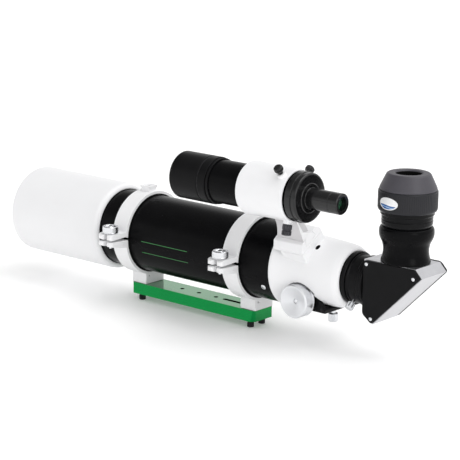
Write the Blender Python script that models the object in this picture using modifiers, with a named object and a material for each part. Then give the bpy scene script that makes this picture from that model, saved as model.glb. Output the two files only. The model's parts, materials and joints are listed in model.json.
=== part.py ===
"""Refractor telescope: optical tube on two clamp rings and a dovetail bar, with focuser,
mirror diagonal, wide eyepiece and a straight finder on its own bracket.

Frame: the origin is the centre of the bar's underside.  +X runs along the optical axis
toward the eyepiece, +Z is up, and -Y is the side that carries the ring clamps.
"""

import math

import bmesh
import bpy
from mathutils import Matrix, Vector

MM = 0.001              # every size below is written in millimetres
GAP = 0.3               # clearance between pieces that touch

# Sides of round pieces, by size
LARGE = 32
MEDIUM = 24
FINE = 16
SMALL = 8

# Optical tube
AXIS_Z = 81.0           # height of the optical axis above the bar's underside
TUBE_R = 50.0
TUBE_BORE_R = 48.4
TUBE_FRONT_X = -170.0
TUBE_REAR_X = 151.0
LENS_R = 40.6
SHIELD_R = 57.5
SHIELD_FRONT_X = -294.6
SHIELD_REAR_X = -133.8

# Clamp rings
RING_X = {"front": -93.0, "rear": 93.0}
RING_R = 55.4
RING_BORE_R = 52.0
RING_HALF_WIDTH = 12.0
SPLIT_LOW_Z = 81.3
SPLIT_HIGH_Z = 83.7
CLAMP_Y = -72.0
HINGE_Y = 60.8
HINGE_Z = 82.5
KNUCKLE_R = 4.5
SLOT_HALF_WIDTH = 4.2
SLOT_FLOOR_Y = -64.0
CLAMP_STEM_R = 2.4

# Dovetail bar
BAR_HALF_LENGTH = 105.0
BAR_HEIGHT = 14.0
BAR_FOOT_HALF_WIDTH = 21.0
BAR_TOP_HALF_WIDTH = 18.6
BAR_END_HALF_WIDTH = 16.0
BOLT_Y = 11.0
BOLT_HEAD_R = 4.4
BOLT_BOTTOM_Z = -9.5
BOLT_SEAT_Z = 1.2       # depth of the round seat for each bolt in the bar's underside

# Focuser
SNOUT_X = 245.5
FOCUSER_BORE_R = 31.0
DRAWTUBE_R = 28.0
DRAWTUBE_BORE_R = 26.2
SHAFT_X = 191.0
SHAFT_Z = 50.0
SHAFT_R = 2.7
KNOB_R = 20.5
KNOB_OUTER_Y = -51.0
KNOB_LENGTH = 17.0
ADAPTER_X = 252.2
NOSE_R = 25.4

# Mirror diagonal and eyepiece
DIAGONAL_X = 276.0
EYE_X = 317.0
DIAGONAL_TOP_Z = 114.0
DIAGONAL_HALF_WIDTH = 25.2
PLATE_THICKNESS = 2.5
HOLDER_TOP_Z = 157.0

# Finder
FINDER_ANGLE = math.radians(36.0)   # from +Z toward -Y, about the optical axis
FINDER_DISTANCE = 133.4
FINDER_TUBE_R = 26.5
FINDER_FRONT_X = 39.0
BRACKET_RING_X = (147.0, 216.0)
SHOE_X = (158.0, 201.0)
SHOE_TOP = 62.0         # distances from the optical axis
SHOE_BASE = 50.3
SHOE_FLOOR = 53.0

COLOURS = {
    "white_enamel": ((0.80, 0.81, 0.80), 0.32, 0.0),
    "cast_white": ((0.78, 0.79, 0.78), 0.40, 0.0),
    "black_gloss": ((0.012, 0.012, 0.014), 0.22, 0.0),
    "black_satin": ((0.018, 0.018, 0.020), 0.42, 0.0),
    "black_flat": ((0.008, 0.008, 0.008), 0.85, 0.0),
    "black_felt": ((0.015, 0.015, 0.015), 0.95, 0.0),
    "green_anodised": ((0.0, 0.30, 0.09), 0.25, 0.8),
    "chrome": ((0.72, 0.73, 0.75), 0.18, 1.0),
    "brushed_aluminium": ((0.74, 0.75, 0.77), 0.33, 1.0),
    "dark_steel": ((0.03, 0.03, 0.035), 0.35, 0.9),
    "dark_grey": ((0.045, 0.045, 0.052), 0.45, 0.0),
    "soft_rubber": ((0.030, 0.030, 0.034), 0.75, 0.0),
    "coated_glass": ((0.10, 0.16, 0.14), 0.03, 0.0),
    "silvered_glass": ((0.88, 0.89, 0.90), 0.02, 1.0),
}


def clear_scene():
    for old in list(bpy.data.objects):
        bpy.data.objects.remove(old, do_unlink=True)


def make_collection(name):
    collection = bpy.data.collections.new(name)
    bpy.context.scene.collection.children.link(collection)
    return collection


def finish_for(name):
    """One Principled material for one sub-part, from the table of finishes."""
    def build(piece_name):
        colour, roughness, metallic = COLOURS[name]
        material = bpy.data.materials.new(piece_name + "_" + name)
        material.use_nodes = True
        shader = material.node_tree.nodes["Principled BSDF"]
        shader.inputs["Base Color"].default_value = (*colour, 1.0)
        shader.inputs["Roughness"].default_value = roughness
        shader.inputs["Metallic"].default_value = metallic
        material.diffuse_color = (*colour, 1.0)
        return material
    return build


def place(name, mesh, location=(0.0, 0.0, 0.0), rotation=None, finish=None):
    """Link a mesh as an object: a sub-part if it has a finish, otherwise a cutter."""
    piece = bpy.data.objects.new(name, mesh)
    matrix = Matrix.Translation(Vector(location) * MM)
    if rotation is not None:
        matrix = matrix @ rotation.to_4x4()
    piece.matrix_world = matrix
    if finish is None:
        CUTTERS.objects.link(piece)
        piece.hide_render = True
        piece.display_type = "WIRE"
    else:
        PARTS.objects.link(piece)
        mesh.materials.append(finish_for(finish)(name))
    return piece


def facing(direction):
    """Rotation that takes local +Z to the given direction."""
    return Vector(direction).to_track_quat("Z", "Y").to_matrix()


ALONG_X = facing((1.0, 0.0, 0.0))
ALONG_Y = facing((0.0, 1.0, 0.0))


def turned(name, outline, location, rotation=None, finish=None, segments=MEDIUM):
    """Solid of revolution about local Z.

    The outline lists (radius, height) pairs down the outer side from top to bottom.  It is
    closed for a hollow piece and runs from axis to axis for a solid one.
    """
    mesh = bpy.data.meshes.new(name)
    points = [(radius * MM, 0.0, height * MM) for radius, height in outline]
    edges = [(i, i + 1) for i in range(len(points) - 1)]
    if outline[0][0] > 0.0:
        edges.append((len(points) - 1, 0))
    mesh.from_pydata(points, edges, [])
    piece = place(name, mesh, location, rotation, finish)
    screw = piece.modifiers.new("Turn", "SCREW")
    screw.axis = "Z"
    screw.steps = segments
    screw.render_steps = segments
    screw.use_merge_vertices = True
    screw.merge_threshold = 0.00001
    screw.use_smooth_shade = True
    return piece


def rod(name, radius, low, high, location, rotation=None, finish=None, segments=SMALL):
    """Plain round bar along local Z."""
    outline = [(0.0, high), (radius, high), (radius, low), (0.0, low)]
    return turned(name, outline, location, rotation, finish, segments)


def tube(name, outer, inner, low, high, location, rotation=None, finish=None, segments=MEDIUM):
    outline = [(outer, high), (outer, low), (inner, low), (inner, high)]
    return turned(name, outline, location, rotation, finish, segments)


def block(name, low, high, location=(0.0, 0.0, 0.0), rotation=None, finish=None, bevel=0.0):
    """Box between two corners of the local frame, with optional rounded edges."""
    mesh = bpy.data.meshes.new(name)
    shape = bmesh.new()
    bmesh.ops.create_cube(shape, size=1.0)
    size = [high[i] - low[i] for i in range(3)]
    middle = [(high[i] + low[i]) / 2.0 for i in range(3)]
    bmesh.ops.scale(shape, vec=Vector(size) * MM, verts=shape.verts)
    bmesh.ops.translate(shape, vec=Vector(middle) * MM, verts=shape.verts)
    shape.to_mesh(mesh)
    shape.free()
    piece = place(name, mesh, location, rotation, finish)
    if bevel > 0.0:
        rounding = piece.modifiers.new("Edges", "BEVEL")
        rounding.width = bevel * MM
        rounding.segments = 2
        rounding.limit_method = "ANGLE"
    return piece


def sheet(name, outline, thickness, location, rotation, finish=None):
    """Flat outline in the local XY plane, extruded evenly to both sides, as a mesh."""
    curve = bpy.data.curves.new(name + "_outline", "CURVE")
    curve.dimensions = "2D"
    curve.fill_mode = "BOTH"
    curve.extrude = thickness * MM / 2.0
    spline = curve.splines.new("POLY")
    spline.points.add(len(outline) - 1)
    for point, (x, y) in zip(spline.points, outline):
        point.co = (x * MM, y * MM, 0.0, 1.0)
    spline.use_cyclic_u = True
    guide = bpy.data.objects.new(name + "_guide", curve)
    bpy.context.scene.collection.objects.link(guide)
    bpy.context.view_layer.update()
    evaluated = guide.evaluated_get(bpy.context.evaluated_depsgraph_get())
    mesh = bpy.data.meshes.new_from_object(evaluated)
    mesh.name = name
    mesh.materials.clear()
    bpy.data.objects.remove(guide, do_unlink=True)
    shape = bmesh.new()
    shape.from_mesh(mesh)
    bmesh.ops.remove_doubles(shape, verts=shape.verts, dist=0.000001)
    bmesh.ops.recalc_face_normals(shape, faces=shape.faces)
    shape.to_mesh(mesh)
    shape.free()
    return place(name, mesh, location, rotation, finish)


def combine(piece, other, operation):
    modifier = piece.modifiers.new(operation.title(), "BOOLEAN")
    modifier.operation = operation
    modifier.object = other
    modifier.solver = "EXACT"


def join(piece, *others):
    for other in others:
        combine(piece, other, "UNION")


def cut(piece, *others):
    for other in others:
        combine(piece, other, "DIFFERENCE")


def arc(centre, radius, start_deg, end_deg, steps):
    """Points along a circle, ends included."""
    points = []
    for step in range(steps + 1):
        angle = math.radians(start_deg + (end_deg - start_deg) * step / steps)
        points.append((centre[0] + radius * math.cos(angle), centre[1] + radius * math.sin(angle)))
    return points


def frame_of(x_axis, y_axis):
    """Rotation whose local X and Y run along two given directions."""
    x_axis = Vector(x_axis)
    y_axis = Vector(y_axis)
    return Matrix((x_axis, y_axis, x_axis.cross(y_axis))).transposed()


SIDE_VIEW = frame_of((1.0, 0.0, 0.0), (0.0, 0.0, 1.0))     # outline drawn in X and Z
END_VIEW = frame_of((0.0, 1.0, 0.0), (0.0, 0.0, 1.0))      # outline drawn in Y and Z


def around_axis(angle, distance=0.0, x=0.0):
    """Point at an angle from +Z toward -Y about the optical axis."""
    return (x, -distance * math.sin(angle), AXIS_Z + distance * math.cos(angle))


def outward(angle):
    return (0.0, -math.sin(angle), math.cos(angle))


def sideways(angle):
    """Tangent about the optical axis, toward -Y."""
    return (0.0, -math.cos(angle), -math.sin(angle))


def parent_to(parent, *children):
    bpy.context.view_layer.update()
    for child in children:
        child.parent = parent
        child.matrix_parent_inverse = parent.matrix_world.inverted()


# ---------------------------------------------------------------- optical tube

def build_tube():
    axis = (0.0, 0.0, AXIS_Z)
    body = tube("main_tube", TUBE_R, TUBE_BORE_R, TUBE_FRONT_X, TUBE_REAR_X, axis, ALONG_X,
                "black_gloss", LARGE)
    turned("objective_cell", [
        (49.9, TUBE_FRONT_X - GAP), (49.9, -213.0), (48.5, -214.5), (38.5, -214.5),
        (38.5, -211.5), (41.0, -211.5), (41.0, -188.0), (47.0, -184.0), (47.0, TUBE_FRONT_X - GAP),
    ], axis, ALONG_X, "black_satin", MEDIUM)
    turned("crown_lens", [
        (0.0, -199.0), (20.0, -199.6), (34.0, -200.8), (LENS_R, -201.9), (LENS_R, -205.0),
        (34.0, -207.4), (20.0, -209.6), (0.0, -210.6),
    ], axis, ALONG_X, "coated_glass", MEDIUM)
    turned("flint_lens", [
        (0.0, -194.4), (20.0, -194.1), (LENS_R, -193.4), (LENS_R, -201.4), (34.0, -200.3),
        (20.0, -199.1), (0.0, -198.5),
    ], axis, ALONG_X, "coated_glass", MEDIUM)
    tube("lens_retaining_ring", 40.6, 37.5, -192.9, -189.0, axis, ALONG_X, "black_flat", MEDIUM)
    turned("dew_shield", [
        (50.4, SHIELD_REAR_X), (52.2, SHIELD_REAR_X), (55.3, SHIELD_REAR_X - 1.6),
        (57.0, SHIELD_REAR_X - 4.6), (SHIELD_R, SHIELD_REAR_X - 8.5), (SHIELD_R, SHIELD_FRONT_X + 3.0),
        (56.9, SHIELD_FRONT_X + 1.0), (55.8, SHIELD_FRONT_X), (54.6, SHIELD_FRONT_X + 0.8),
        (54.3, SHIELD_FRONT_X + 2.5), (54.3, SHIELD_REAR_X - 11.0), (50.4, SHIELD_REAR_X - 6.0),
    ], axis, ALONG_X, "white_enamel", LARGE)
    tube("tube_baffle", 48.0, 33.0, -22.0, -19.5, axis, ALONG_X, "black_flat", MEDIUM)
    return body


# ---------------------------------------------------------------- clamp rings

def lower_ring_outline():
    """End view of the lower half: bore, hinge knuckle, foot and clamp lug."""
    centre = (0.0, AXIS_Z)
    foot_half = 17.0
    foot_angle = math.degrees(math.acos(foot_half / RING_R))
    points = arc(centre, RING_BORE_R, 180.0, 360.0, 18)
    points[0] = (-RING_BORE_R, SPLIT_LOW_Z)
    points[-1] = (RING_BORE_R, SPLIT_LOW_Z)
    points += [(56.2, SPLIT_LOW_Z)]
    points += arc((HINGE_Y, HINGE_Z), KNUCKLE_R, 180.0, 0.0, 6)
    points += [(65.3, 80.0), (58.0, 74.0)]
    points += arc(centre, RING_R, -9.0, -foot_angle, 5)
    points += [(foot_half, BAR_HEIGHT + GAP), (-foot_half, BAR_HEIGHT + GAP)]
    points += arc(centre, RING_R, 180.0 + foot_angle, 190.5, 5)
    points += [
        (-60.0, 71.3), (-75.0, 73.8), (-84.4, 75.8), (-85.7, 77.4), (-85.7, 80.3), (-84.8, SPLIT_LOW_Z),
    ]
    return points


def upper_ring_outline():
    """End view of the upper half: clamp lug, bore and hinge knuckle."""
    centre = (0.0, AXIS_Z)
    points = arc(centre, RING_BORE_R, 0.0, 180.0, 18)
    points[0] = (RING_BORE_R, SPLIT_HIGH_Z)
    points[-1] = (-RING_BORE_R, SPLIT_HIGH_Z)
    points += [(-84.6, SPLIT_HIGH_Z), (-85.7, 84.8), (-85.7, 87.2), (-84.2, 88.9), (-78.0, 91.0)]
    points += arc(centre, RING_R, 169.5, 13.0, 14)
    points += [(58.5, 91.0), (64.6, 85.0)]
    points += arc((HINGE_Y, HINGE_Z), KNUCKLE_R, 0.0, -180.0, 6)
    points += [(56.3, SPLIT_HIGH_Z)]
    return points


def liner_outline(start_deg):
    centre = (0.0, AXIS_Z)
    start = start_deg + 2.4
    end = start_deg + 177.6
    outer = arc(centre, RING_BORE_R - GAP - 0.05, start, end, 18)
    inner = arc(centre, TUBE_R + 0.45, end, start, 18)
    return outer + inner


def build_ring(which):
    x = RING_X[which]
    spot = (x, 0.0, 0.0)
    width = 2.0 * RING_HALF_WIDTH
    pin_hole = rod(which + "_pin_cut", 2.0, -30.0, 30.0, (x, HINGE_Y, HINGE_Z), ALONG_X)

    lower = sheet(which + "_ring_lower", lower_ring_outline(), width, spot, END_VIEW, "cast_white")
    middle_cut = block(which + "_middle_knuckle_cut", (-4.4, 55.8, 60.0), (4.4, 72.0, 100.0), spot)
    slot = block(which + "_slot_cut", (-SLOT_HALF_WIDTH, -120.0, 60.0),
                 (SLOT_HALF_WIDTH, SLOT_FLOOR_Y, 95.0), spot)
    cut(lower, middle_cut, pin_hole, slot)

    upper = sheet(which + "_ring_upper", upper_ring_outline(), width, spot, END_VIEW, "cast_white")
    boss = block(which + "_boss_form", (-8.5, -8.5, 134.6), (8.5, 8.5, 143.2), spot)
    front_knuckle_cut = block(which + "_front_knuckle_cut", (-20.0, 55.8, 60.0), (-4.0, 72.0, 100.0), spot)
    back_knuckle_cut = block(which + "_back_knuckle_cut", (4.0, 55.8, 60.0), (20.0, 72.0, 100.0), spot)
    clamp_hole = rod(which + "_clamp_cut", CLAMP_STEM_R + 0.4, 60.0, 110.0, (x, CLAMP_Y, 0.0))
    screw_hole = rod(which + "_boss_screw_cut", 2.6, 136.5, 150.0, spot)
    join(upper, boss)
    cut(upper, front_knuckle_cut, back_knuckle_cut, clamp_hole, screw_hole, pin_hole)

    liner_width = width - 1.2
    sheet(which + "_liner_lower", liner_outline(180.0), liner_width, spot, END_VIEW, "black_felt")
    upper_liner = sheet(which + "_liner_upper", liner_outline(0.0), liner_width, spot, END_VIEW,
                        "black_felt")
    rod(which + "_hinge_pin", 1.7, -RING_HALF_WIDTH, RING_HALF_WIDTH, (x, HINGE_Y, HINGE_Z), ALONG_X,
        "chrome")
    clamp = turned(which + "_clamp_screw", [
        (0.0, 100.6), (3.6, 100.6), (3.8, 99.2), (8.4, 99.0), (9.2, 100.4), (10.2, 99.8), (10.2, 92.0),
        (9.6, 91.4), (CLAMP_STEM_R, 91.4), (CLAMP_STEM_R, 71.1), (0.0, 70.5),
    ], (x, CLAMP_Y, 0.0), None, "chrome", FINE)
    parent_to(upper, upper_liner, clamp)


# ---------------------------------------------------------------- dovetail bar

def build_bar():
    """Bar with sloped flanks, lofted from the wide underside to the narrow top."""
    mesh = bpy.data.meshes.new("dovetail_bar")
    shape = bmesh.new()
    rims = []
    for half_width, z in ((BAR_FOOT_HALF_WIDTH, 0.0), (BAR_TOP_HALF_WIDTH, BAR_HEIGHT)):
        corner = half_width - BAR_END_HALF_WIDTH
        quarter = [(BAR_HALF_LENGTH, BAR_END_HALF_WIDTH), (BAR_HALF_LENGTH - corner, half_width)]
        outline = quarter + [(-px, py) for px, py in reversed(quarter)]
        outline += [(-px, -py) for px, py in quarter] + [(px, -py) for px, py in reversed(quarter)]
        rims.append([shape.verts.new((px * MM, py * MM, z * MM)) for px, py in outline])
    count = len(rims[0])
    shape.faces.new(list(reversed(rims[0])))
    shape.faces.new(rims[1])
    for i in range(count):
        j = (i + 1) % count
        shape.faces.new((rims[0][i], rims[0][j], rims[1][j], rims[1][i]))
    shape.to_mesh(mesh)
    shape.free()
    bar = place("dovetail_bar", mesh, finish="green_anodised")
    for number, x in enumerate((-32.6, -3.6, 25.4)):
        cut(bar, rod("bar_hole_%d_cut" % number, 2.3, 5.0, 20.0, (x, 0.0, 0.0)))
    slot = [(x, y) for x, y in arc((68.0, 0.0), 3.2, -90.0, 90.0, 6)]
    slot += [(x, y) for x, y in arc((41.0, 0.0), 3.2, 90.0, 270.0, 6)]
    cut(bar, sheet("bar_slot_cut", slot, 60.0, (0.0, 0.0, 0.0), None))
    for which, ring_x in RING_X.items():
        for side, y in (("near", -BOLT_Y), ("far", BOLT_Y)):
            name = "%s_bar_bolt_%s" % (which, side)
            hole = rod(name + "_cut", 3.2, -5.0, 24.0, (ring_x, y, 0.0))
            seat = rod(name + "_seat_cut", BOLT_HEAD_R + 0.6, -5.0, BOLT_SEAT_Z, (ring_x, y, 0.0))
            cut(bar, hole, seat)
            cut(bpy.data.objects[which + "_ring_lower"], hole)
            bolt = turned(name, [
                (0.0, 22.0), (2.8, 22.0), (2.8, BOLT_SEAT_Z - GAP), (3.8, BOLT_SEAT_Z - GAP), (3.8, -3.4),
                (BOLT_HEAD_R, -3.8), (BOLT_HEAD_R, BOLT_BOTTOM_Z + 0.5), (BOLT_HEAD_R - 0.5, BOLT_BOTTOM_Z),
                (0.0, BOLT_BOTTOM_Z),
            ], (ring_x, y, 0.0), None, "dark_steel", SMALL)
            socket = rod(name + "_socket_cut", 2.3, BOLT_BOTTOM_Z - 2.0, BOLT_BOTTOM_Z + 2.6,
                         (ring_x, y, 0.0), None, None, 6)
            cut(bolt, socket)


# ---------------------------------------------------------------- focuser

def pinion_outline(grow):
    """Side view of the shaft carrier, sloped at its rear end."""
    return [
        (187.0 - grow, 37.0 - grow), (224.0 + grow, 37.0 - grow), (224.0 + grow, 41.0 + grow),
        (210.0 + grow, 56.7 + grow), (187.0 - grow, 56.7 + grow),
    ]


def build_focuser(main_tube):
    axis = (0.0, 0.0, AXIS_Z)
    body = turned("focuser_body", [
        (FOCUSER_BORE_R, SNOUT_X - 1.2), (32.6, SNOUT_X), (34.6, SNOUT_X - 0.6), (37.0, SNOUT_X - 3.0),
        (38.6, SNOUT_X - 7.0), (39.4, SNOUT_X - 12.0), (42.3, 184.0), (43.4, 176.0), (46.0, 166.0),
        (49.6, 158.0), (51.5, 154.6), (51.5, 151.3), (48.1, 151.3), (48.1, 135.0), (44.5, 135.0),
        (44.5, 155.0), (FOCUSER_BORE_R, 168.0),
    ], axis, ALONG_X, "white_enamel", LARGE)
    pad = block("focuser_pad_form", (166.0, -22.0, 34.0), (SHOE_X[1] + 0.5, 22.0, SHOE_BASE - GAP), axis,
                frame_of((1.0, 0.0, 0.0), Vector(sideways(FINDER_ANGLE)) * -1.0))
    bore_guard = rod("focuser_inner_cut", FOCUSER_BORE_R, 150.0, 300.0, axis, ALONG_X, None, LARGE)
    join(body, pad)
    cut(body, bore_guard)
    for side, sign in (("near", -1.0), ("far", 1.0)):
        recess = rod("knob_recess_%s_cut" % side, KNOB_R + 1.8, 33.2, 80.0, (SHAFT_X, 0.0, SHAFT_Z),
                     facing((0.0, sign, 0.0)), None, MEDIUM)
        cheek = sheet("carrier_%s_cut" % side, pinion_outline(GAP), 60.0, (0.0, sign * 54.0, 0.0),
                      SIDE_VIEW)
        cut(body, recess, cheek)
    floor_cut = block("carrier_floor_cut", (187.0 - GAP, -26.0, 20.0), (224.0 + GAP, 26.0, 45.0))
    shaft_cut = rod("shaft_cut", SHAFT_R + 0.5, -60.0, 60.0, (SHAFT_X, 0.0, SHAFT_Z), ALONG_Y)
    cut(body, floor_cut, shaft_cut)

    for number, degrees in enumerate((117.5, -2.5, -122.5)):
        angle = math.radians(degrees)
        name = "tube_screw_%d" % (number + 1)
        spot = around_axis(angle, 0.0, 140.0)
        hole = rod(name + "_cut", 2.2, 40.0, 60.0, spot, facing(outward(angle)))
        cut(main_tube, hole)
        cut(body, hole)
        turned(name, [
            (0.0, 52.2), (2.0, 51.9), (3.6, 50.9), (3.6, 50.3), (1.8, 50.3), (1.8, 45.5), (0.0, 45.5),
        ], spot, facing(outward(angle)), "chrome", SMALL)

    carrier = sheet("shaft_carrier", pinion_outline(0.0), 61.0, (0.0, 0.0, 0.0), SIDE_VIEW, "black_satin")
    cut(carrier, block("carrier_channel_cut", (180.0, -24.3, 44.7), (230.0, 24.3, 70.0)))
    cut(carrier, rod("carrier_shaft_cut", SHAFT_R + 0.4, -60.0, 60.0, (SHAFT_X, 0.0, SHAFT_Z), ALONG_Y))
    cut(carrier, rod("carrier_screw_cut", 2.3, 30.0, 50.0, (214.0, 0.0, 0.0)))
    turned("tension_screw", [
        (0.0, 44.4), (1.9, 44.4), (1.9, 35.6), (3.1, 35.6), (3.1, 30.6), (5.4, 30.6), (6.1, 29.8),
        (6.1, 20.9), (5.3, 20.0), (0.0, 20.0),
    ], (214.0, 0.0, 0.0), None, "chrome", FINE)

    shaft = rod("focus_shaft", SHAFT_R, -45.4, 61.6, (SHAFT_X, 0.0, SHAFT_Z), ALONG_Y, "chrome", SMALL)
    near = turned("focus_knob_near", [
        (SHAFT_R + GAP, KNOB_LENGTH), (KNOB_R - 0.8, KNOB_LENGTH), (KNOB_R, KNOB_LENGTH - 0.8),
        (KNOB_R, 0.8), (KNOB_R - 0.8, 0.0), (KNOB_R - 2.4, 0.0), (SHAFT_R + GAP, 5.2),
    ], (SHAFT_X, KNOB_OUTER_Y, SHAFT_Z), ALONG_Y, "brushed_aluminium", MEDIUM)
    far = turned("focus_knob_far", [
        (SHAFT_R + GAP, 48.0), (12.5, 48.0), (KNOB_R - 0.8, 47.0), (KNOB_R, 46.2), (KNOB_R, 34.8),
        (KNOB_R - 0.8, 34.0), (SHAFT_R + GAP, 34.0),
    ], (SHAFT_X, 0.0, SHAFT_Z), ALONG_Y, "brushed_aluminium", MEDIUM)
    turned("fine_focus_knob", [
        (SHAFT_R + GAP, 61.0), (9.6, 61.0), (10.4, 60.2), (10.4, 49.2), (9.6, 48.4), (SHAFT_R + GAP, 48.4),
    ], (SHAFT_X, 0.0, SHAFT_Z), ALONG_Y, "dark_steel", FINE)
    parent_to(shaft, near, far)


def build_drawtube():
    axis = (0.0, 0.0, AXIS_Z)
    drawtube = turned("drawtube", [
        (DRAWTUBE_BORE_R, 251.6), (31.6, 251.6), (32.6, 250.6), (32.6, 247.2), (31.8, SNOUT_X + 0.8),
        (DRAWTUBE_R, SNOUT_X + 0.8), (DRAWTUBE_R, 120.0), (DRAWTUBE_BORE_R, 120.0),
    ], axis, ALONG_X, "black_satin", MEDIUM)
    adapter = turned("drawtube_adapter", [
        (26.0, 275.0), (29.8, 275.0), (30.8, 274.0), (30.8, 267.0), (29.4, 265.6), (29.4, 255.2),
        (30.8, 254.0), (30.8, ADAPTER_X + 0.6), (30.2, ADAPTER_X), (26.0, ADAPTER_X),
    ], axis, ALONG_X, "black_satin", MEDIUM)
    parent_to(drawtube, adapter)
    for name, degrees in (("adapter_screw_near", 132.0), ("adapter_screw_far", -108.0)):
        angle = math.radians(degrees)
        spot = around_axis(angle, 0.0, 260.6)
        cut(adapter, rod(name + "_cut", 2.1, 20.0, 40.0, spot, facing(outward(angle))))
        screw = turned(name, [
            (0.0, 44.0), (4.3, 44.0), (5.0, 43.2), (5.0, 36.2), (4.3, 35.4), (2.6, 35.4), (2.6, 30.3),
            (1.7, 30.3), (1.7, 26.6), (0.0, 26.6),
        ], spot, facing(outward(angle)), "chrome", SMALL)
        parent_to(drawtube, screw)
    return drawtube


# ---------------------------------------------------------------- mirror diagonal

def rounded(outline, radius, steps=3):
    """Polygon with each corner replaced by an arc through points set back by the radius."""
    points = []
    count = len(outline)
    for i in range(count):
        corner = Vector(outline[i])
        before = (Vector(outline[i - 1]) - corner).normalized() * radius
        after = (Vector(outline[(i + 1) % count]) - corner).normalized() * radius
        for step in range(steps + 1):
            t = step / steps
            point = (corner + before) * (1 - t) ** 2 + corner * 2 * t * (1 - t) + (corner + after) * t ** 2
            points.append(tuple(point))
    return points


def diagonal_outline(inset):
    """Side view of the diagonal: square corner cut away at 45 degrees behind the mirror."""
    return [
        (DIAGONAL_X + inset, 48.0), (290.5, 36.5 + inset), (358.0 - inset, 104.0),
        (348.5, DIAGONAL_TOP_Z - inset), (DIAGONAL_X + inset, DIAGONAL_TOP_Z - inset),
    ]


def build_diagonal(drawtube):
    eye_axis = (EYE_X, 0.0, 0.0)
    body = sheet("diagonal_body", diagonal_outline(0.0), 2.0 * DIAGONAL_HALF_WIDTH, (0.0, 0.0, 0.0),
                 SIDE_VIEW, "brushed_aluminium")
    # The mirror's local Z points behind it
    mirror_frame = frame_of(Vector((1.0, 0.0, 1.0)).normalized(), (0.0, -1.0, 0.0))
    mirror_spot = (EYE_X, 0.0, AXIS_Z)
    light_in = rod("diagonal_inlet_cut", 22.5, 260.0, EYE_X, (0.0, 0.0, AXIS_Z), ALONG_X, None, MEDIUM)
    light_out = rod("diagonal_outlet_cut", 23.1, AXIS_Z, 130.0, eye_axis, None, None, MEDIUM)
    slot = block("mirror_slot_cut", (-36.5, -40.0, 0.0), (36.5, 40.0, 9.2), mirror_spot, mirror_frame)
    behind = block("diagonal_behind_cut", (-60.0, -60.0, 4.0), (60.0, 60.0, 60.0), mirror_spot,
                   mirror_frame)
    cut(light_in, behind)
    cut(light_out, behind)
    cut(body, light_in, light_out, slot)
    mirror = block("diagonal_mirror", (-36.2, -24.9, GAP), (36.2, 24.9, 8.9), mirror_spot, mirror_frame,
                   "silvered_glass")
    parent_to(body, mirror)
    for side, sign in (("near", -1.0), ("far", 1.0)):
        centre_y = sign * (DIAGONAL_HALF_WIDTH + GAP + PLATE_THICKNESS / 2.0)
        plate = sheet("diagonal_plate_" + side, rounded(diagonal_outline(0.6), 3.0), PLATE_THICKNESS,
                      (0.0, centre_y, 0.0), SIDE_VIEW, "black_satin")
        parent_to(body, plate)
    nose = turned("diagonal_nose", [
        (22.6, DIAGONAL_X - GAP), (25.7, DIAGONAL_X - GAP), (NOSE_R, 274.8), (NOSE_R, 254.5),
        (24.6, 253.4), (22.6, 253.4),
    ], (0.0, 0.0, AXIS_Z), ALONG_X, "chrome", MEDIUM)
    holder = turned("eyepiece_holder", [
        (25.9, HOLDER_TOP_Z), (29.2, HOLDER_TOP_Z), (31.2, 155.8), (32.4, 152.6), (32.5, 148.0),
        (31.4, 143.4), (29.2, 139.0), (27.6, 134.0), (27.0, 128.6), (27.5, 122.6), (29.0, 117.6),
        (29.4, DIAGONAL_TOP_Z + GAP), (25.9, DIAGONAL_TOP_Z + GAP),
    ], eye_axis, None, "black_gloss", MEDIUM)
    parent_to(body, nose, holder)
    parent_to(drawtube, body)
    return body


def build_eyepiece(diagonal):
    eye_axis = (EYE_X, 0.0, 0.0)
    body = turned("eyepiece_body", [
        (20.0, 200.4), (33.9, 200.4), (34.8, 199.8), (35.1, 198.4), (35.1, 178.8), (34.4, 177.0),
        (32.0, 175.4), (31.6, 171.6), (30.4, 170.8), (30.4, 160.6), (29.2, HOLDER_TOP_Z + GAP),
        (NOSE_R, HOLDER_TOP_Z + GAP), (NOSE_R, 124.5), (24.6, 123.5), (22.4, 123.5), (22.4, 150.0),
        (20.0, 152.0),
    ], eye_axis, None, "dark_grey", MEDIUM)
    cup = turned("eyepiece_cup", [
        (15.4, 218.4), (17.0, 220.0), (24.4, 220.0), (26.2, 218.6), (33.7, 203.4), (33.7, 200.7),
        (16.5, 200.7), (16.5, 208.6), (15.4, 210.2),
    ], eye_axis, None, "soft_rubber", MEDIUM)
    eye_lens = turned("eyepiece_eye_lens", [
        (0.0, 208.2), (9.0, 207.6), (16.1, 206.2), (16.1, 202.4), (9.0, 201.8), (0.0, 201.6),
    ], eye_axis, None, "coated_glass", FINE)
    parent_to(body, cup, eye_lens)
    parent_to(diagonal, body)


# ---------------------------------------------------------------- finder

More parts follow.
